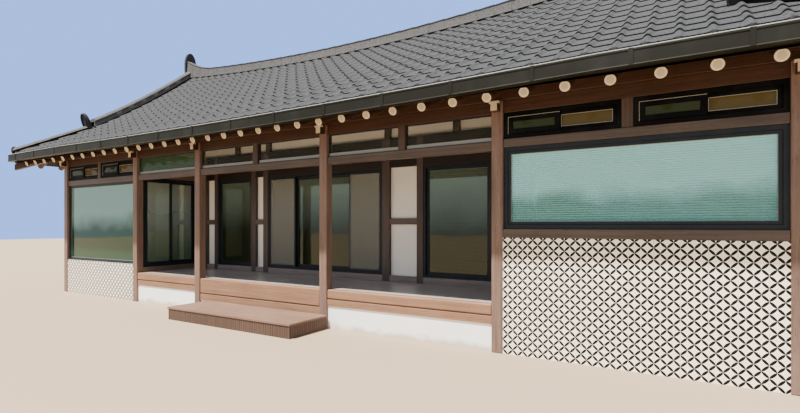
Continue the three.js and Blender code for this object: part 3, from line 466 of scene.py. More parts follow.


# Window and door sections: extruded aluminium, powder-coated charcoal, mitred at the corners.
# Panes are tinted float glass held by a rubber bead, with a paler sealant line on the room windows; each
# carries a painted reflection, darker to its foot.
def coat_paint(name, colour, roughness, gloss=0.2):
    """Powder coat: an even colour with a fine orange-peel bump and faint dust in slow clouds."""
    paint, place = new_paint(name, roughness, gloss=gloss)
    dusty = tuple(0.9 * c + 0.006 for c in colour)
    colour = mix_colours(spread(noise(place, 4.0, 4.0), 0.45, 0.75), colour, dusty)
    return finished(paint, colour, noise(place, 900.0, 1.0), 0.0003)


def glass_paint(name, colour, painted_reflection_foot, alpha, metallic, rise=(1.0, 2.2), roughness=0.04, gloss=0.5):
    """Tinted pane: partly see-through, with a painted reflection that turns from colour to a darker foot
    colour over the heights in rise, a slow cloudiness in that change, and the faint waviness of float glass."""
    paint, place = new_paint(name, roughness, metallic, gloss, alpha)
    cloud = calculate("MULTIPLY_ADD", noise(place, 1.7, 5.0), 0.5, -0.25)
    level = add_node("SeparateXYZ", {0: place}, "Z")
    colour = mix_colours(spread(calculate("ADD", level, cloud), *rise), painted_reflection_foot, colour)
    return finished(paint, colour, noise(place, 1.6, 1.0), 0.0015)


charcoal = coat_paint("charcoal powder coat", (0.0082, 0.0122, 0.0175), 0.42)
deep_black = coat_paint("deep black coat", (0.0022, 0.0026, 0.0030), 0.5, 0.06)
pale_bead = coat_paint("pale sealant bead", (0.22, 0.26, 0.26), 0.6)
# Each pane's two colours are a painted reflection: lighter sky above, darker ground below.
teal_reflection_horizon = (1.93, 2.13)
teal_glass = glass_paint("teal coated glass", (0.40, 0.80, 0.76), (0.10, 0.32, 0.28), 0.33, 0.62, teal_reflection_horizon)
left_glass = glass_paint("left room glass", (0.23, 0.37, 0.33), (0.020, 0.068, 0.040), 0.80, 0.4, (1.5, 1.9))
side_glass = glass_paint("side door glass", (0.52, 0.62, 0.52), (0.19, 0.27, 0.19), 0.70, 0.5)
dark_reflection_horizon = (1.5, 2.4)
dark_glass = glass_paint("dark door glass", (0.14, 0.19, 0.145), (0.024, 0.031, 0.014), 0.80, 0.35, dark_reflection_horizon)
clear_glass = glass_paint("clear green glass", (0.07, 0.10, 0.08), (0.06, 0.09, 0.07), 0.08, 0.0, gloss=0.3)
screen_mesh = glass_paint("insect screen", (0.26, 0.27, 0.24), (0.22, 0.22, 0.19), 0.42, 0, roughness=0.8)
blind_slat = coat_paint("pale blind slat", (0.60, 0.93, 0.87), 0.5)

fixed_section = [(0, 0), (0.034, 0), (0.038, 0.006), (0.045, 0.006)]
fixed_section += [(0.045, 0.114), (0.038, 0.114), (0.034, 0.12), (0, 0.12)]
leaf_section = [(0, 0.002), (0.002, 0), (0.046, 0), (0.050, 0.005), (0.060, 0.005), (0.060, 0.035)]
leaf_section += [(0.050, 0.035), (0.046, 0.040), (0.002, 0.040), (0, 0.038)]
leaf_z = (0.775, 2.655)
moving_leaf_z = (0.7753, 2.649)
pull_z = (1.50, 1.72)
pane_lap = 0.052


def shifted(profile, depth):
    """The same section, deeper in the wall."""
    return [(inset, behind + depth) for inset, behind in profile]


def leaf_shells(place, run, height, depth):
    """A leaf's mitred section, and its pane let into the middle of it."""
    section = ring_frame(place, run, height, shifted(leaf_section, depth))
    pane_depth = (depth + 0.017, depth + 0.023)
    return section, plate(place, inside(run, pane_lap), inside(height, pane_lap), pane_depth)


def door_set(name, place, run, fixed, moving, glass, node):
    """A door frame with its fixed leaves in the outer track, and its moving leaves in the inner one."""
    leaves = [leaf_shells(place, leaf_run, leaf_z, 0.010) for leaf_run in fixed]
    metal = [ring_frame(place, run, door_z, fixed_section)] + [section for section, pane in leaves]
    make_piece(name + "_sections", metal, charcoal, [node])
    make_piece(name + "_panes", [pane for section, pane in leaves], glass)
    for leaf, leaf_run, pull_at in moving:
        section, pane = leaf_shells(place, leaf_run, moving_leaf_z, 0.070)
        pull = plate(place, around(pull_at, 0.012), pull_z, (0.0665, 0.072))
        make_piece(leaf + "_section", [section, pull], charcoal, [leaf], body=leaf)
        make_piece(leaf + "_pane", [pane], glass, body=leaf)


side_run = (-3.095, -1.755)
side_fixed, side_moving = [(-3.05, -2.405)], [("side_door_leaf", (-2.445, -1.806), -2.416)]
side_place = on_wall("right", -4.04)
door_set("side_door", side_place, side_run, side_fixed, side_moving, side_glass, "side_door_frame")
right_lights = [(-3.05, -2.425), (-2.425, -1.80)]
right_place = on_wall("left", 3.99)
door_set("porch_window", right_place, side_run, right_lights, [], dark_glass, "right_room_porch_window")
recess_place = on_wall("front", -1.735)
centre_moving = [("centre_door_leaf_left", (-0.905, -0.178), -0.207)]
centre_moving.append(("centre_door_leaf_right", (-0.172, 0.555), -0.143))
centre_fixed = [(-1.605, -0.875), (0.525, 1.255)]
centre_set = ((-1.65, 1.30), centre_fixed, centre_moving, dark_glass, "centre_door_frame")
door_set("centre_door", recess_place, *centre_set)

tall_sash = [(0, 0.002), (0.002, 0), (0.036, 0), (0.040, 0.006), (0.050, 0.006), (0.050, 0.038), (0, 0.038)]
for name, run in (("left_tall_window", (-3.30, -2.17)), ("right_tall_window", (2.16, 3.42))):
    outer = ring_frame(recess_place, run, door_z, fixed_section)
    sash = ring_frame(recess_place, inside(run, 0.045), leaf_z, shifted(tall_sash, 0.041))
    make_piece(name + "_sections", [outer, sash], charcoal, [name])
    pane = plate(recess_place, inside(run, 0.087), inside(leaf_z, 0.042), (0.055, 0.061))
    make_piece(name + "_pane", [pane], dark_glass)

screen_z, screen_depth = (0.81, 2.62), (0.006, 0.009)
screens = [plate(recess_place, inside(run, 0.03), screen_z, screen_depth) for run in centre_fixed]
make_piece("insect_screens", screens, screen_mesh)

# Room windows: one large fixed pane each, deep charcoal section with a stepped inner sash.
# A pale sealant bead runs round the pane, and the right-hand room has blinds just behind the glass.
room_front = on_wall("front", -3.20)
left_section = [(0, 0), (0.036, 0), (0.040, 0.014), (0.060, 0.014), (0.060, 0.08), (0, 0.08)]
right_section = [(0, 0), (0.052, 0), (0.058, 0.016), (0.090, 0.016), (0.090, 0.08), (0, 0.08)]
bead_section = [(0, 0), (0.006, 0), (0.006, 0.006), (0, 0.006)]
right_z = (sill_z[1], right_lintel_z[0])
for name, run, height, section, glass in (
    ("left_room_window", bays[0], (0.80, lintel_z[0]), left_section, left_glass),
    ("right_room_window", bays[4], right_z, right_section, teal_glass),
):
    width = section[3][0]
    outer = ring_frame(room_front, run, height, section)
    make_piece(name + "_section", [outer], charcoal, [name])
    bead = ring_frame(room_front, inside(run, width), inside(height, width), shifted(bead_section, 0.028))
    make_piece(name + "_bead", [bead], pale_bead)
    lap = width - 0.01
    pane = plate(room_front, inside(run, lap), inside(height, lap), (0.034, 0.044))
    make_piece(name + "_pane", [pane], glass)


def blind(place, run, height, pitch, depth):
    """Slats one pitch apart: a shallow bow 22 mm deep, tilted down to the inside, carried along the run."""
    bow = np.linspace(-1, 1, 4)
    outer = np.stack([bow * 0.011, 0.002 * (1 - bow ** 2) - bow * 0.009], -1)
    across, rise = np.concatenate([outer, outer[::-1] - np.array([0, 0.0008])]).T
    levels = np.arange(height[0] + pitch / 2, height[1], pitch)
    return [skin(np.array([place(end, level + rise, depth + across) for end in run])) for level in levels]


room_blind = blind(room_front, inside(bays[4], 0.095), inside(right_z, 0.095), 0.027, 0.066)
make_piece("right_room_blind", room_blind, blind_slat, smooth=60)
door_blinds = blind(recess_place, (2.26, 3.32), (0.83, 2.60), 0.036, 0.10)
door_blinds += blind(recess_place, (-3.20, -2.27), (0.83, 2.60), 0.036, 0.10)
olive_slat = coat_paint("olive blind slat", (0.20, 0.20, 0.13), 0.5)
make_piece("door_blinds", door_blinds, olive_slat, smooth=60)

# Upper lights over the lintel: clear fixed panes over the porch, small two-leaf sashes over the rooms.
# Porch panes sit on a blue-grey bead; room sashes have deep black sections and a thin pale edge.
upper = on_wall("front", -3.205)
upper_section = [(0, 0.02), (0.012, 0.02), (0.012, 0.06), (0, 0.06)]
room_upper_section = [(0, 0), (0.050, 0), (0.056, 0.012), (0.056, 0.07), (0, 0.07)]
near_section = [(0, 0), (0.058, 0), (0.062, 0.006), (0.062, 0.03), (0, 0.03)]
far_section = [(0, 0), (0.036, 0), (0.040, 0.006), (0.040, 0.03), (0, 0.03)]
thin_line = [(0, 0), (0.006, 0), (0.006, 0.004), (0, 0.004)]
metal, panes, end_panes, beads = [], [], [], []
room_metal, green_panes, brown_panes, bright_lines = [], [], [], []
for bay, ((low, high), level) in enumerate(zip(bays, lintels)):
    middle = (low + high) / 2
    lights = [(low, high)] if bay == 1 else [(low, middle - post_half), (middle + post_half, high)]
    z = (level[1], eave_board_foot)
    for light in lights:
        if 0 < bay < 4:
            metal.append(ring_frame(upper, light, z, upper_section))
            pane = plate(upper, inside(light, 0.010), inside(z, 0.010), (0.030, 0.036))
            (end_panes if bay == 1 else panes).append(pane)
            foot_z = (z[0] + 0.004, z[0] + 0.060)
            beads.append(plate(upper, inside(light, 0.012), foot_z, (0.022, 0.029)))
            continue
        room_metal.append(ring_frame(upper, light, z, room_upper_section))
        centre = sum(light) / 2
        sash_z = inside(z, 0.058)
        near = (light[0] + 0.058, centre + 0.01)
        far = (centre - 0.02, light[1] - 0.058)
        room_metal.append(ring_frame(upper, near, sash_z, shifted(near_section, 0.004)))
        room_metal.append(ring_frame(upper, far, sash_z, shifted(far_section, 0.036)))
        side_line = (near[0], near[0] + 0.006), sash_z
        top_line = (near[0] + 0.0065, near[1]), (sash_z[1] - 0.006, sash_z[1])
        bright_lines += [plate(upper, *line, (0.0015, 0.006), 0.0005) for line in (side_line, top_line)]
        far_pane = inside(far, 0.038), inside(sash_z, 0.038)
        bright_lines.append(ring_frame(upper, *far_pane, shifted(thin_line, 0.034)))
        green_panes.append(plate(upper, inside(near, 0.060), inside(sash_z, 0.060), (0.016, 0.020)))
        brown_panes.append(plate(upper, *far_pane, (0.048, 0.052)))
make_piece("upper_light_sections", metal, charcoal)
make_piece("room_upper_light_sections", room_metal, deep_black)
make_piece("upper_light_panes", panes, clear_glass, ["front_transom_glass"])
end_glass = glass_paint("green porch glass", (0.045, 0.085, 0.045), (0.04, 0.075, 0.04), 0.6, 0, gloss=0.2)
make_piece("upper_light_end_pane", end_panes, end_glass)
foot_bead = coat_paint("blue grey foot bead", (0.22, 0.255, 0.265), 0.6)
make_piece("upper_light_beads", beads, foot_bead)
green_glass = glass_paint("dark green glass", (0.028, 0.038, 0.014), (0.02, 0.03, 0.012), 0.95, 0, gloss=0.12)
make_piece("upper_light_green_panes", green_panes, green_glass)
amber_glass = glass_paint("amber glass", (0.088, 0.070, 0.026), (0.072, 0.06, 0.026), 0.95, 0, gloss=0.12)
make_piece("upper_light_amber_panes", brown_panes, amber_glass)
line_coat = coat_paint("grey sash edge", (0.26, 0.27, 0.24), 0.5)
make_piece("upper_light_bright_edges", bright_lines, line_coat)
end_run = (porch_posts[0][1], porch_posts[1][0])
end_lights = [plate(end, end_run, end_light_z, (0.06, 0.066)) for end in porch_ends.values()]
make_piece("porch_end_upper_panes", end_lights, clear_glass)

# Back and end walls: posts and rails laid over white plaster, with framed windows between them.
# Each window is a pair of lights in charcoal sections, doubled by a second pane inside.
# Its two colours also grade as a painted reflection, lighter above.
inner_glass = glass_paint("inner window glass", (0.20, 0.27, 0.25), (0.12, 0.18, 0.15), 0.6, 0.3)
cover(inner_glass, "back_window_glass", "left_window_glass", "right_window_glass")
window_section = [(0, 0), (0.045, 0), (0.050, 0.012), (0.060, 0.012), (0.060, 0.055), (0, 0.055)]
metal, panes = [], []
post_z = (0.50, eave_board_foot)
window_z = (sill_z[0], lintel_z[0])
outer_face = {"front": -3.25, "back": 3.25, "left": -7.175, "right": 7.175}
wall_end = {"back": 7.0247, "left": 3.0997, "right": 3.0997}
for wall, end in wall_end.items():
    place = on_wall(wall, outer_face[wall])
    posts, windows = (column_x[1:5], (0, 2, 4)) if wall == "back" else ([-1.675, 0.75], (1,))
    edges = [-end] + [x + step for x in posts for step in (-0.065, 0.065)] + [end]
    boards = [plate(place, around(x, 0.065), post_z, post_depth, 0.005) for x in posts]
    if wall == "back":
        for x in (column_x[0], column_x[-1]):
            boards.append(beam(around(x, column_half), (3.10, 3.25), (0, column_head), "Z", 0.009))
    else:
        for run in ((-end, -end + 0.06), (end - 0.06, end)):
            boards.append(plate(place, run, post_z, post_depth, 0.004))
    rails = []
    for run in zip(edges[0::2], edges[1::2]):
        for height in ((0.50, 0.66), (1.377, sill_z[0]), lintel_z):
            rails.append(plate(place, run, height, (0.004, 0.068), 0.004))
    make_piece(f"{wall}_wall_posts", boards, timber_up, replaces=[f"{wall}_timber_frame"])
    make_piece(f"{wall}_wall_rails", rails, timber_across if wall == "back" else timber_deep)
    for bay in windows:
        run = (edges[2 * bay], edges[2 * bay + 1])
        middle = sum(run) / 2
        metal.append(ring_frame(place, run, window_z, shifted(window_section, 0.012)))
        metal.append(plate(place, around(middle, 0.03), inside(window_z, 0.06), (0.026, 0.06), 0.002))
        for light in ((run[0] + 0.055, middle - 0.028), (middle + 0.028, run[1] - 0.055)):
            panes.append(plate(place, light, inside(window_z, 0.055), (0.040, 0.046)))
make_piece("outer_wall_window_sections", metal, charcoal)
make_piece("outer_wall_window_panes", panes, teal_glass)


# Eaves: round rafters of stained pine whose sawn ends are painted cream, on a squared purlin.
# Hip rafters run out under the corners, and beam heads show over the columns as a painted T.
def carry(outline, path, side, scale=1.0, up=(0, 0, 1)):
    """Carries a closed outline of (sideways, upwards) along a path: each station puts the outline
    at the path's point, along the side and up directions, scaled by its own factor."""
    outline = np.asarray(outline, float)
    scale = np.broadcast_to(scale, (len(path),))[:, None, None]
    offset = outline[:, :1] * np.asarray(side) + outline[:, 1:] * np.asarray(up)
    return skin(path[:, None, :] + scale * offset)


eave_x, eave_y = 7.97, 4.12
eave_face = {"front": -eave_y, "back": eave_y, "left": -eave_x, "right": eave_x}
eaves = {side: on_wall(side, face) for side, face in eave_face.items()}
long_sides = ("front", "back")
rafter_slope = 0.466
rafter_run = math.hypot(1, rafter_slope)
round_steps = np.linspace(0, 2 * math.pi, 20, endpoint=False)
circle = np.stack([np.cos(round_steps), np.sin(round_steps)], -1)


def rafter_height(inward):
    """Height of a rafter's centre line, which starts 0.15 m in from the eave."""
    return 3.11 + rafter_slope * (inward - 0.15)


def rafter_shells(side, along, reach):
    """A round rafter with an eased end, the thick coat of paint on that end, and its duller middle."""
    shells = []
    for steps, radius in (
        ((0, 0.006, rafter_run * (reach - 0.15)), (0.054, 0.060, 0.060)),
        ((-0.005, -0.003, 0.0, 0.002), (0.050, 0.0545, 0.0555, 0.054)),
        ((-0.0058, -0.0054, -0.0045), (0.035, 0.0375, 0.0375)),
    ):
        inward = 0.15 + np.array(steps) / rafter_run
        path = eaves[side](along, rafter_height(inward), inward)
        into = (path[-1] - path[0]) / np.linalg.norm(path[-1] - path[0])
        level = np.cross(into, (0, 0, 1))
        level /= np.linalg.norm(level)
        shells.append(carry(circle, path, level, radius, np.cross(level, into)))
    return shells


# The eave stain is a darker copy of the frame stain: painted shade for the rafters, purlins and beam heads
# under the roof.
eave_shade_colours = ((0.060, 0.028, 0.0155), (0.027, 0.012, 0.006))
eave_shade_stain = {"Y": timber_paint("eave painted shade front to back", "Y", *eave_shade_colours)}
eave_shade_stain["X"] = timber_paint("eave painted shade lengthways", "X", *eave_shade_colours)
cream_paint = coat_paint("cream end paint", (0.55, 0.47, 0.345), 0.7)
grain_paint = coat_paint("cream end grain", (0.40, 0.33, 0.21), 0.8)
cream_ends, end_grain = [], []
for side, face in outer_face.items():
    if side in long_sides:
        counts = np.arange(36) - 17.5
        positions = 0.4 * counts + 0.0646e-3 * counts ** 3 - 0.13 * (1 - (counts / 18.5) ** 2)
        reaches = np.minimum(1.05, eave_x - np.abs(positions) - 0.11)
        run = (-7.23, 7.23)
        grain, crossing = "YX"
    else:
        positions = (np.arange(16) - 7.5) * 0.405
        reaches = np.append(np.minimum(1.05, eave_y - np.abs(positions) - 0.16), [0.514, 0.514])
        positions = np.append(positions, [-(eave_y - 0.624), eave_y - 0.624])
        run = (-3.0997, 3.0997)
        grain, crossing = "XY"
    shells = [rafter_shells(side, along, reach) for along, reach in zip(positions, reaches)]
    bodies, coats, cores = zip(*shells)
    cream_ends += coats
    end_grain += cores
    make_piece(f"{side}_rafters", bodies, eave_shade_stain[grain], replaces=[f"{side}_eave"], smooth=40)
    place = on_wall(side, face)
    plates = [plate(place, run, (column_head, 3.44), (0, 0.15), 0.006)]
    spans = pairwise(column_x) if side == "front" else [(run[0] - column_half, run[1] + column_half)]
    for span in spans:
        board_run = np.clip(inside(span, column_half), -7.0247, 7.0247)
        plates.append(plate(place, board_run, (eave_board_foot, column_head), (0.025, 0.125), 0.004))
    make_piece(f"{side}_purlin", plates, eave_shade_stain[crossing])

hip_rafters = []
hip_outline = beam((-0.065, 0.065), (0, 0.15), (0, 1), "Z", 0.01)[0][8:16, :2]
hip_inward = np.array([0.12, 0.14, 0.95])
corners = [(sx, sy) for sx in (-1, 1) for sy in (-1, 1)]
corner_level = {(sx, sy): np.array([1, -sx * sy, 0]) / math.sqrt(2) for sx, sy in corners}
board_lift = 0.0614
for sx, sy in corners:
    foot = rafter_height(hip_inward) + board_lift - 0.03 - 0.15
    path = np.column_stack([sx * (eave_x - hip_inward), sy * (eave_y - hip_inward), foot])
    hip_rafters.append(carry(hip_outline, path, corner_level[sx, sy], (0.9, 1, 1)))
make_piece("hip_rafters", hip_rafters, eave_shade_stain["Y"])

head_front = on_wall("front", -3.367)
head_outline = [(-3.361, 3.100), (-3.19, 3.100), (-3.19, 3.26), (-3.345, 3.216), (-3.361, 3.205)]
head_centre = np.mean(head_outline, 0)
head_flanks = np.array([-0.0425, -0.0375, 0.0375, 0.0425])
head_stems = []
for x in column_x:
    path = np.column_stack([x + head_flanks, np.tile(head_centre, (4, 1))])
    head_stems.append(carry(head_outline - head_centre, path, (0, 1, 0), (0.97, 1, 1, 0.97)))
    cream_ends.append(plate(head_front, around(x, 0.042), (3.102, 3.198), (0, 0.008), 0.002))
    cream_ends.append(plate(head_front, around(x, 0.066), (3.198, 3.222), (-0.004, 0.05), 0.003))
make_piece("beam_head_stems", head_stems, eave_shade_stain["Y"])
make_piece("painted_rafter_ends", cream_ends, cream_paint, smooth=40)
make_piece("rafter_end_grain", end_grain, grain_paint, smooth=40)


# Roof: stone-coated steel tiles in courses, each pressed with rolls that stand up between flat pans.
# Every course steps down over the one below it and casts a thin shadow, and painted shade darkens the foot of
# each step; boards line the eaves below.
def spine(x):
    """The roof's sag over its span, flattest in the middle and deepest at the gables."""
    return 0.0091 + 0.0313 * (np.asarray(x) / verge_x) ** 2


def roof_height(x, inward):
    """Height of the slope above the ground, at a distance inward from the eave."""
    return 3.35 + (0.65 / verge_inward) * inward + spine(x) * inward * (inward - verge_inward)


def eave_dip(x):
    """How far the long eaves hang below their corners: 47 mm in the middle, none past the reach."""
    return 0.047 * np.clip(1 - (np.asarray(x) / dip_reach) ** 2, 0, 1)


def long_height(x, inward):
    """Height of a long slope, whose foot follows the dip of its eave and loses it a metre up."""
    return roof_height(x, inward) - eave_dip(x) * np.clip(1 - inward ** 2, 0, 1) ** 2


verge_x = 6.8
verge_inward = 1.17
dip_reach = 5.4
tile_course = 0.289
roll_pitch = 0.277
roll_sides = np.array([-0.1385, -0.060, -0.044, -0.024, -0.008, 0.008, 0.024, 0.044, 0.060])
roll_rise = np.array([0.0, 0.0, 0.12, 0.70, 1.0, 1.0, 0.70, 0.12, 0.0])


def roll_share(along):
    """How far up a roll a point lies: 0 in the pan and 1 on the roll's crown, every roll pitch."""
    phase = (along / roll_pitch + 0.5) % 1.0 - 0.5
    return np.interp(phase * roll_pitch, np.append(roll_sides, 0.1385), np.append(roll_rise, 0.0))


def slab(place, along, inward, top, foot):
    """Two layers of heights, top over foot, on a grid of places (rows, columns) inward from an eave,
    closed with walls round their edges."""
    points = np.stack([place(along, layer, inward) for layer in (top, foot)])
    number = np.arange(points[..., 0].size).reshape(points.shape[:3])
    faces = []
    for layer in number:
        quads = np.stack([layer[:-1, :-1], layer[:-1, 1:], layer[1:, 1:], layer[1:, :-1]], -1)
        faces.append(quads.reshape(-1, 4))
    for edge in (number[:, 0], number[:, -1], number[:, :, 0], number[:, :, -1]):
        faces.append(np.stack([edge[0, :-1], edge[0, 1:], edge[1, 1:], edge[1, :-1]], -1))
    return points.reshape(-1, 3), np.concatenate(faces).tolist()


def tile_slope(place, span, half_width, height, run):
    """A slope of tiles as one closed shell, and the painted shade on each of its points. Its top is the
    slope's height, plus a fall from each course's nose to its head, plus the rolls. Each nose hangs over
    the head of the course below it; the corner under each nose and the top row carry painted shade."""
    courses = round((run[1] - run[0]) / tile_course)
    step = (run[1] - run[0]) / courses
    rows, lift, swell, soil_and_shade = [], [], [], []
    for number in range(courses):
        nose = run[0] + number * step
        rows += [nose, nose - 0.006, nose + 0.003, nose + 0.5 * step, nose + step - 0.024]
        lift += [-0.007, 0.006, 0.010, 0.003, -0.006]
        swell += [0.030, 0.037, 0.041, 0.036, 0.030] if number else [0.006, 0.014, 0.022, 0.036, 0.030]
        # Painted shade under each nose: full at its foot, faint on the first course at the eave.
        soil_and_shade += [1.0, 0.30, 0.0, 0.0, 0.0] if number else [0.2, 0.0, 0.0, 0.0, 0.0]
    ends = ((rows, run[1]), (lift, -0.010), (swell, 0.028), (soil_and_shade, 1.0))
    rows, lift, swell, soil_and_shade = (np.array(values + [last])[:, None] for values, last in ends)
    rolls = math.ceil(span / roll_pitch)
    along = (np.arange(-rolls, rolls + 1)[:, None] * roll_pitch + roll_sides).ravel()[None, :]
    limit = half_width(rows)
    along = np.clip(along, -limit, limit)
    surface = height(along, rows)
    shell = slab(place, along, rows, surface + lift + swell * roll_share(along), surface - 0.045)
    return shell, np.tile(np.broadcast_to(soil_and_shade, along.shape).ravel(), 2)


def roof_paint(name, warm, cool, course_speckle=1.0):
    """Stone-coated steel: fine chips of several greys, slow weathering clouds, painted shade where the
    piece's own point attribute says, and a gritty bump."""
    paint, place = new_paint(name, 0.8, gloss=0.2)
    chips = noise(place, 420.0, 2.0)
    base = mix_colours(spread(noise(place, 0.22, 3.0), 0.35, 0.65), warm, cool)
    light = mix_colours(spread(chips, 0.52, 0.66), base, toned(warm, 1.9))
    dark = mix_colours(spread(chips, 0.46, 0.36), light, toned(cool, 0.45))
    clump = calculate("MULTIPLY", spread(noise(place, 42.0, 2.0), 0.47, 0.60), 0.75)
    dark = mix_colours(clump, dark, toned(cool, 0.50))
    streak = spread(noise(place, 5.0, 5.0, 0.6), 0.45, 0.75)
    weathered = mix_colours(calculate("MULTIPLY", streak, 0.35 * course_speckle), dark, toned(cool, 0.6))
    # The attribute read here is painted shade, which turns the coat near black.
    soil_and_shade = add_node("Attribute", output="Fac", tree=paint.node_tree, attribute_name="soil_and_shade")
    return finished(paint, mix_colours(soil_and_shade, weathered, toned(cool, 0.12)), chips, 0.0012)


tile_coat = roof_paint("stone coated tile", (0.043, 0.0435, 0.0455), (0.0355, 0.038, 0.0425))
slopes = {}
for side in long_sides:
    long_width = lambda inward: np.where(inward < verge_inward, eave_x - inward, verge_x)
    slopes[side] = (eave_x, long_width, long_height, 4.11, f"roof_{side}")
for side in ("left", "right"):
    end_height = lambda along, inward: roof_height(0 * along, inward)
    end_width = lambda inward: np.where(inward < 1.19, eave_y - inward, 2.4)
    slopes[side] = (eave_y, end_width, end_height, 1.40, f"roof_{side}_end")
for side, (span, half_width, height, top_edge, node) in slopes.items():
    shell, soil_and_shade = tile_slope(eaves[side], span, half_width, height, (0.062, top_edge))
    tiles = make_piece(f"{side}_roof_tiles", [shell], tile_coat, [node], smooth=50)
    tiles.data.attributes.new("soil_and_shade", "FLOAT", "POINT").data.foreach_set("value", soil_and_shade)

# Roof boards: planks nailed over the rafters, which show from below as the ceiling of the eaves.
# A drip board closes their edge behind the gutter.
# The boards' near-black stain is painted shade for the underside of the eaves.
lining_shade_colours = ((0.026, 0.011, 0.005), (0.012, 0.005, 0.0022))
board_lining_shade = timber_paint("eave lining boards in painted shade", "Y", *lining_shade_colours, 0.5, 0.1)


def underside(height, along, inward):
    """The foot of the boards: straight over the rafters for a metre, then following the slope."""
    over_rafters = rafter_height(np.minimum(inward, 1.0)) + board_lift
    return over_rafters + np.where(inward > 1.0, height(along, inward) - height(along, 1.0), 0)


for side, (span, half_width, height, top_edge, node) in slopes.items():
    inward = np.array([0.106, 0.45, 0.8, 1.0, verge_inward, *np.linspace(1.40, top_edge, 9)])
    inward = np.unique(inward[inward <= top_edge])[:, None]
    along = half_width(inward) * np.linspace(-1, 1, 25)[None, :]
    foot = underside(height, along, inward)
    boards = slab(eaves[side], along, inward, foot + 0.025, foot)
    drip_z = (3.152, 3.325 if side in long_sides else 3.37)
    drip = plate(eaves[side], (0.12 - span, span - 0.12), drip_z, (0.106, 0.130), 0.002)
    make_piece(f"{side}_roof_boards", [boards, drip], board_lining_shade)

# Verge boards: stained boards that follow the slope under its open edge at each gable.
# They hide the ends of the roof boards, and meet in a plumb joint at the top.
verge_outline = [(-0.02, -0.235), (0.02, -0.235), (0.024, -0.225), (0.024, 0), (-0.02, 0)]
verge_run = np.linspace(1.25, 4.12, 20)
verge_top = roof_height(verge_x, verge_run) - 0.004
verge_boards = []
for sx, sy in corners:
    path = np.column_stack([np.full(20, sx * (verge_x - 0.01)), sy * (eave_y - verge_run), verge_top])
    verge_boards.append(carry(verge_outline, path, (sx, 0, 0)))
make_piece("verge_boards", verge_boards, timber_deep)

# Main ridge: pressed ridge caps over a narrow core, its near-black coat painted shade, so that open pans show
# as dark slots below.
# It follows the roof's sag, turns up at the ends and closes with a tall petal-shaped tile.
ridge_coat = roof_paint("ridge cap coat", (0.082, 0.080, 0.078), (0.066, 0.067, 0.070), 0.6)
painted_shade_core_coat = roof_paint("ridge core painted shade board", (0.006, 0.006, 0.006), (0.005, 0.005, 0.006), 0.3)
dark_tile = roof_paint("dark end tile", (0.022, 0.022, 0.023), (0.018, 0.018, 0.020), 0.5)


def overlapping(start, end, pitch):
    """Stations of tiles lapping each other: each tile grows 4 per cent to its lower end, then steps."""
    count = round(abs(end - start) / pitch)
    edges = np.linspace(start, end, count + 1)
    stations = np.stack([edges[:-1], edges[1:] - 0.006], -1).ravel()
    return stations, np.tile([1.0, 1.04], count)


def mirrored(half):
    """A closed outline from the right half of one, listed from its foot to its top."""
    half = np.asarray(half, float)
    return np.concatenate([half, half[::-1] * np.array([-1, 1])])


def ridge_shells(half, x, grow):
    """The main ridge's outline at each x: its foot follows the pans and its top follows the upturn."""
    outline = mirrored(half)
    base = roof_height(x, eave_y)
    slope = 0.5556 + spine(x) * (2 * eave_y - verge_inward)
    upturn = 0.28 * np.clip((np.abs(x) - 5.6) / 1.2, 0, 1.03) ** 2
    foot = outline[:, 1] < 0.05
    across = outline[None, :, 0] * grow[:, None]
    fall = np.where(foot, np.abs(across) * slope[:, None], 0)
    rise = np.where(foot, 0, upturn[:, None])
    height = base[:, None] + outline[None, :, 1] * np.where(foot, 1, grow[:, None]) - fall + rise
    return skin(np.stack(np.broadcast_arrays(x[:, None], across, height), -1))


cap_half = [(0.152, 0.046), (0.154, 0.049), (0.128, 0.085), (0.124, 0.140), (0.134, 0.146), (0.136, 0.160)]
cap_half += [(0.118, 0.172), (0.060, 0.182), (0.020, 0.184)]
caps = ridge_shells(cap_half, *overlapping(-6.825, 6.825, 0.36))
core = ridge_shells([(0.095, -0.02), (0.095, 0.12)], np.linspace(-6.72, 6.72, 60), np.ones(60))


def petal_tile(width, height, thickness, centre, out, lean=0.0):
    """A petal-shaped end tile: outlines scaled towards its middle step from the back over a raised
    rim into a sunk field and up to a boss. Its foot is at centre, it faces out and leans outwards."""
    angle = np.linspace(-math.pi / 2, 1.5 * math.pi, 40, endpoint=False)
    flat = np.stack([np.cos(angle), np.sin(angle)], -1)
    full = np.sign(flat) * np.abs(flat) ** np.where(flat[:, 1:] < 0, 0.55, 0.95)
    levels = [(0.5, -0.5), (0.96, -0.5), (1.0, -0.35), (1.0, 0.35), (0.95, 0.5), (0.86, 0.5), (0.80, 0.18)]
    levels += [(0.45, 0.14), (0.36, 0.34), (0.15, 0.42)]
    out = np.asarray(out, float)
    side = np.array([-out[1], out[0], 0])
    up = np.array([*(math.sin(lean) * out), math.cos(lean)])
    face = np.array([*(math.cos(lean) * out), -math.sin(lean)])
    rings = []
    for scale, depth in levels:
        across, rise = (np.array([0, height / 2]) + scale * full * np.array([width / 2, height / 2])).T
        spot = np.asarray(centre) + depth * thickness * face
        rings.append(spot + across[:, None] * side + rise[:, None] * up)
    return skin(np.array(rings))


end_tiles = [petal_tile(0.36, 0.75, 0.085, (sx * 6.77, 0, 6.07), (sx, 0)) for sx in (-1, 1)]
make_piece("main_ridge_caps", [caps], ridge_coat, ["main_ridge"], smooth=40)
make_piece("main_ridge_core", [core], painted_shade_core_coat)
make_piece("main_ridge_end_tiles", end_tiles, dark_tile)

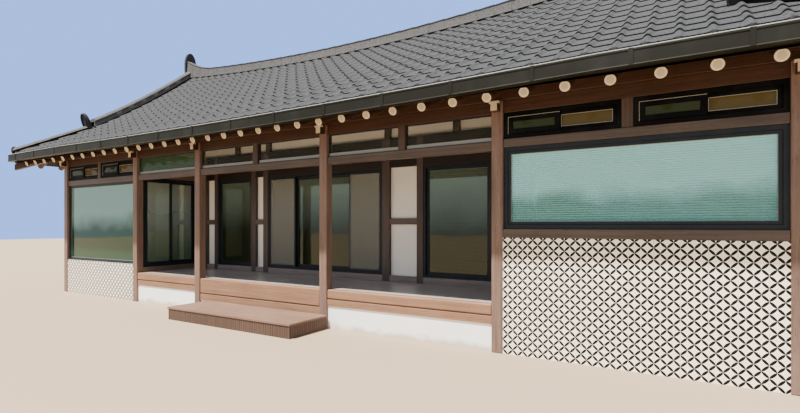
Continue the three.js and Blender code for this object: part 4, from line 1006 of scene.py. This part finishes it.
# Corner ridges: caps lapping down the verge, then lower caps out along the hip to the corner.
# A petal tile stands where the two meet, and a small one closes the hip at the gutter.
verge_centre = 6.67
turn = 2.82
descent_half = [(0.118, 0.040), (0.120, 0.043), (0.104, 0.100), (0.100, 0.150)]
descent_half += [(0.122, 0.156), (0.124, 0.176), (0.098, 0.212), (0.050, 0.230), (0.015, 0.234)]
hip_half = [(0.130, 0.020), (0.132, 0.024), (0.120, 0.050), (0.085, 0.090), (0.040, 0.108), (0.012, 0.111)]
descent_core, hip_core = [(0.08, -0.03), (0.08, 0.16)], [(0.085, -0.03), (0.07, 0.07)]
for sx, sy in corners:
    y, descent_grow = overlapping(0.15, turn + 0.02, 0.34)
    height = roof_height(verge_centre, eave_y - y)
    descent = np.column_stack([np.full(len(y), sx * verge_centre), sy * y, height])
    out, hip_grow = overlapping(0.03, 1.195, 0.30)
    hip = np.column_stack([sx * (verge_centre + out), sy * (turn + out), roof_height(0, 1.30 - out)])
    caps, core = [], []
    for half, inner_half, path, level, grow in (
        (descent_half, descent_core, descent, (1, 0, 0), descent_grow),
        (hip_half, hip_core, hip, corner_level[sx, sy], hip_grow),
    ):
        caps.append(carry(mirrored(half), path, level, grow))
        inner = np.concatenate([path[:-1:2], path[-1:]])
        core.append(carry(mirrored(inner_half), inner, level))
    verge_foot = (sx * verge_centre, sy * (turn + 0.06), 3.92)
    petals = [petal_tile(0.30, 0.52, 0.075, verge_foot, (0, sy), 0.36)]
    corner = (sx * (verge_centre + 1.2), sy * (turn + 1.2), 3.38)
    petals.append(petal_tile(0.26, 0.17, 0.03, corner, np.array([sx, sy]) / math.sqrt(2)))
    name = f"corner_ridge_{'front' if sy < 0 else 'back'}_{'left' if sx < 0 else 'right'}"
    make_piece(name + "_caps", caps, ridge_coat, [name], smooth=40)
    # The cores' near-black coat is painted shade under the caps.
    make_piece(name + "_core", core, painted_shade_core_coat)
    make_piece(name + "_petals", petals, dark_tile)

# Gutter: folded metal channel round the eaves, mitred at the corners, with a rolled lip on top.
# Straps hold it to the rafters, and its lip and its bottom flange show as thin pale lines: painted
# highlights.
gutter_metal = coat_paint("dark olive gutter metal", (0.0095, 0.0100, 0.0072), 0.45, 0.10)
lip_highlight_metal = coat_paint("lip painted highlight", (0.30, 0.31, 0.30), 0.4, 0.5)
foot_highlight_metal = coat_paint("foot painted highlight", (0.032, 0.030, 0.024), 0.5)


def round_eaves(profile):
    """Carries a profile of (inset from the eave line, height) round the eaves, mitred at the corners
    and lowered along the front and the back by the dip of the eave."""
    behind, tall = np.array(profile).T
    rings = []
    stations = [0 * behind + x for x in np.linspace(-dip_reach, dip_reach, 21)]
    for sy in (-1, 1):
        for x in (behind - eave_x, *stations, eave_x - behind):
            rings.append(np.stack([-sy * x, sy * (eave_y - behind), tall - eave_dip(x)], -1))
    return skin(np.array(rings), closed=True)


gutter_shells = [round_eaves([
    (0.004, 3.196), (0.000, 3.192), (0.000, 3.184), (0.006, 3.180), (0.100, 3.180), (0.100, 3.345),
    (0.092, 3.345), (0.092, 3.188), (0.014, 3.188), (0.012, 3.320), (0.020, 3.330), (0.016, 3.345),
    (0.002, 3.345), (0.000, 3.338), (0.000, 3.326), (0.006, 3.320),
])]
# The lip's pale coat is a painted highlight along the gutter's top edge.
lip = round_eaves([(0.001, 3.3452), (0.014, 3.3452), (0.014, 3.352), (0.004, 3.353), (0.001, 3.350)])
make_piece("gutter_lip_bead", [lip], lip_highlight_metal)
# The flange's lighter coat is a painted highlight along the gutter's foot.
foot_line = round_eaves([(-0.0015, 3.1845), (-0.0003, 3.1845), (-0.0003, 3.1915), (-0.0015, 3.1915)])
make_piece("gutter_foot_bead", [foot_line], foot_highlight_metal)
strap = [(-0.002, 3.186), (0.020, 3.178), (0.020, 3.1835), (0.0035, 3.19), (0.0035, 3.344)]
strap += [(0.096, 3.3445), (0.096, 3.3485), (-0.002, 3.348)]
strap_inset, strap_level = np.array(strap).T
for side, place in eaves.items():
    strap_reach = 7.6 if side in long_sides else 3.8
    for along in np.linspace(-strap_reach, strap_reach, round(2 * strap_reach / 0.95) + 1):
        tall = strap_level - (eave_dip(along) if side in long_sides else 0)
        gutter_shells.append(skin(np.array([place(end, tall, strap_inset) for end in around(along, 0.022)])))
make_piece("gutter_channel", gutter_shells, gutter_metal, ["gutter"])
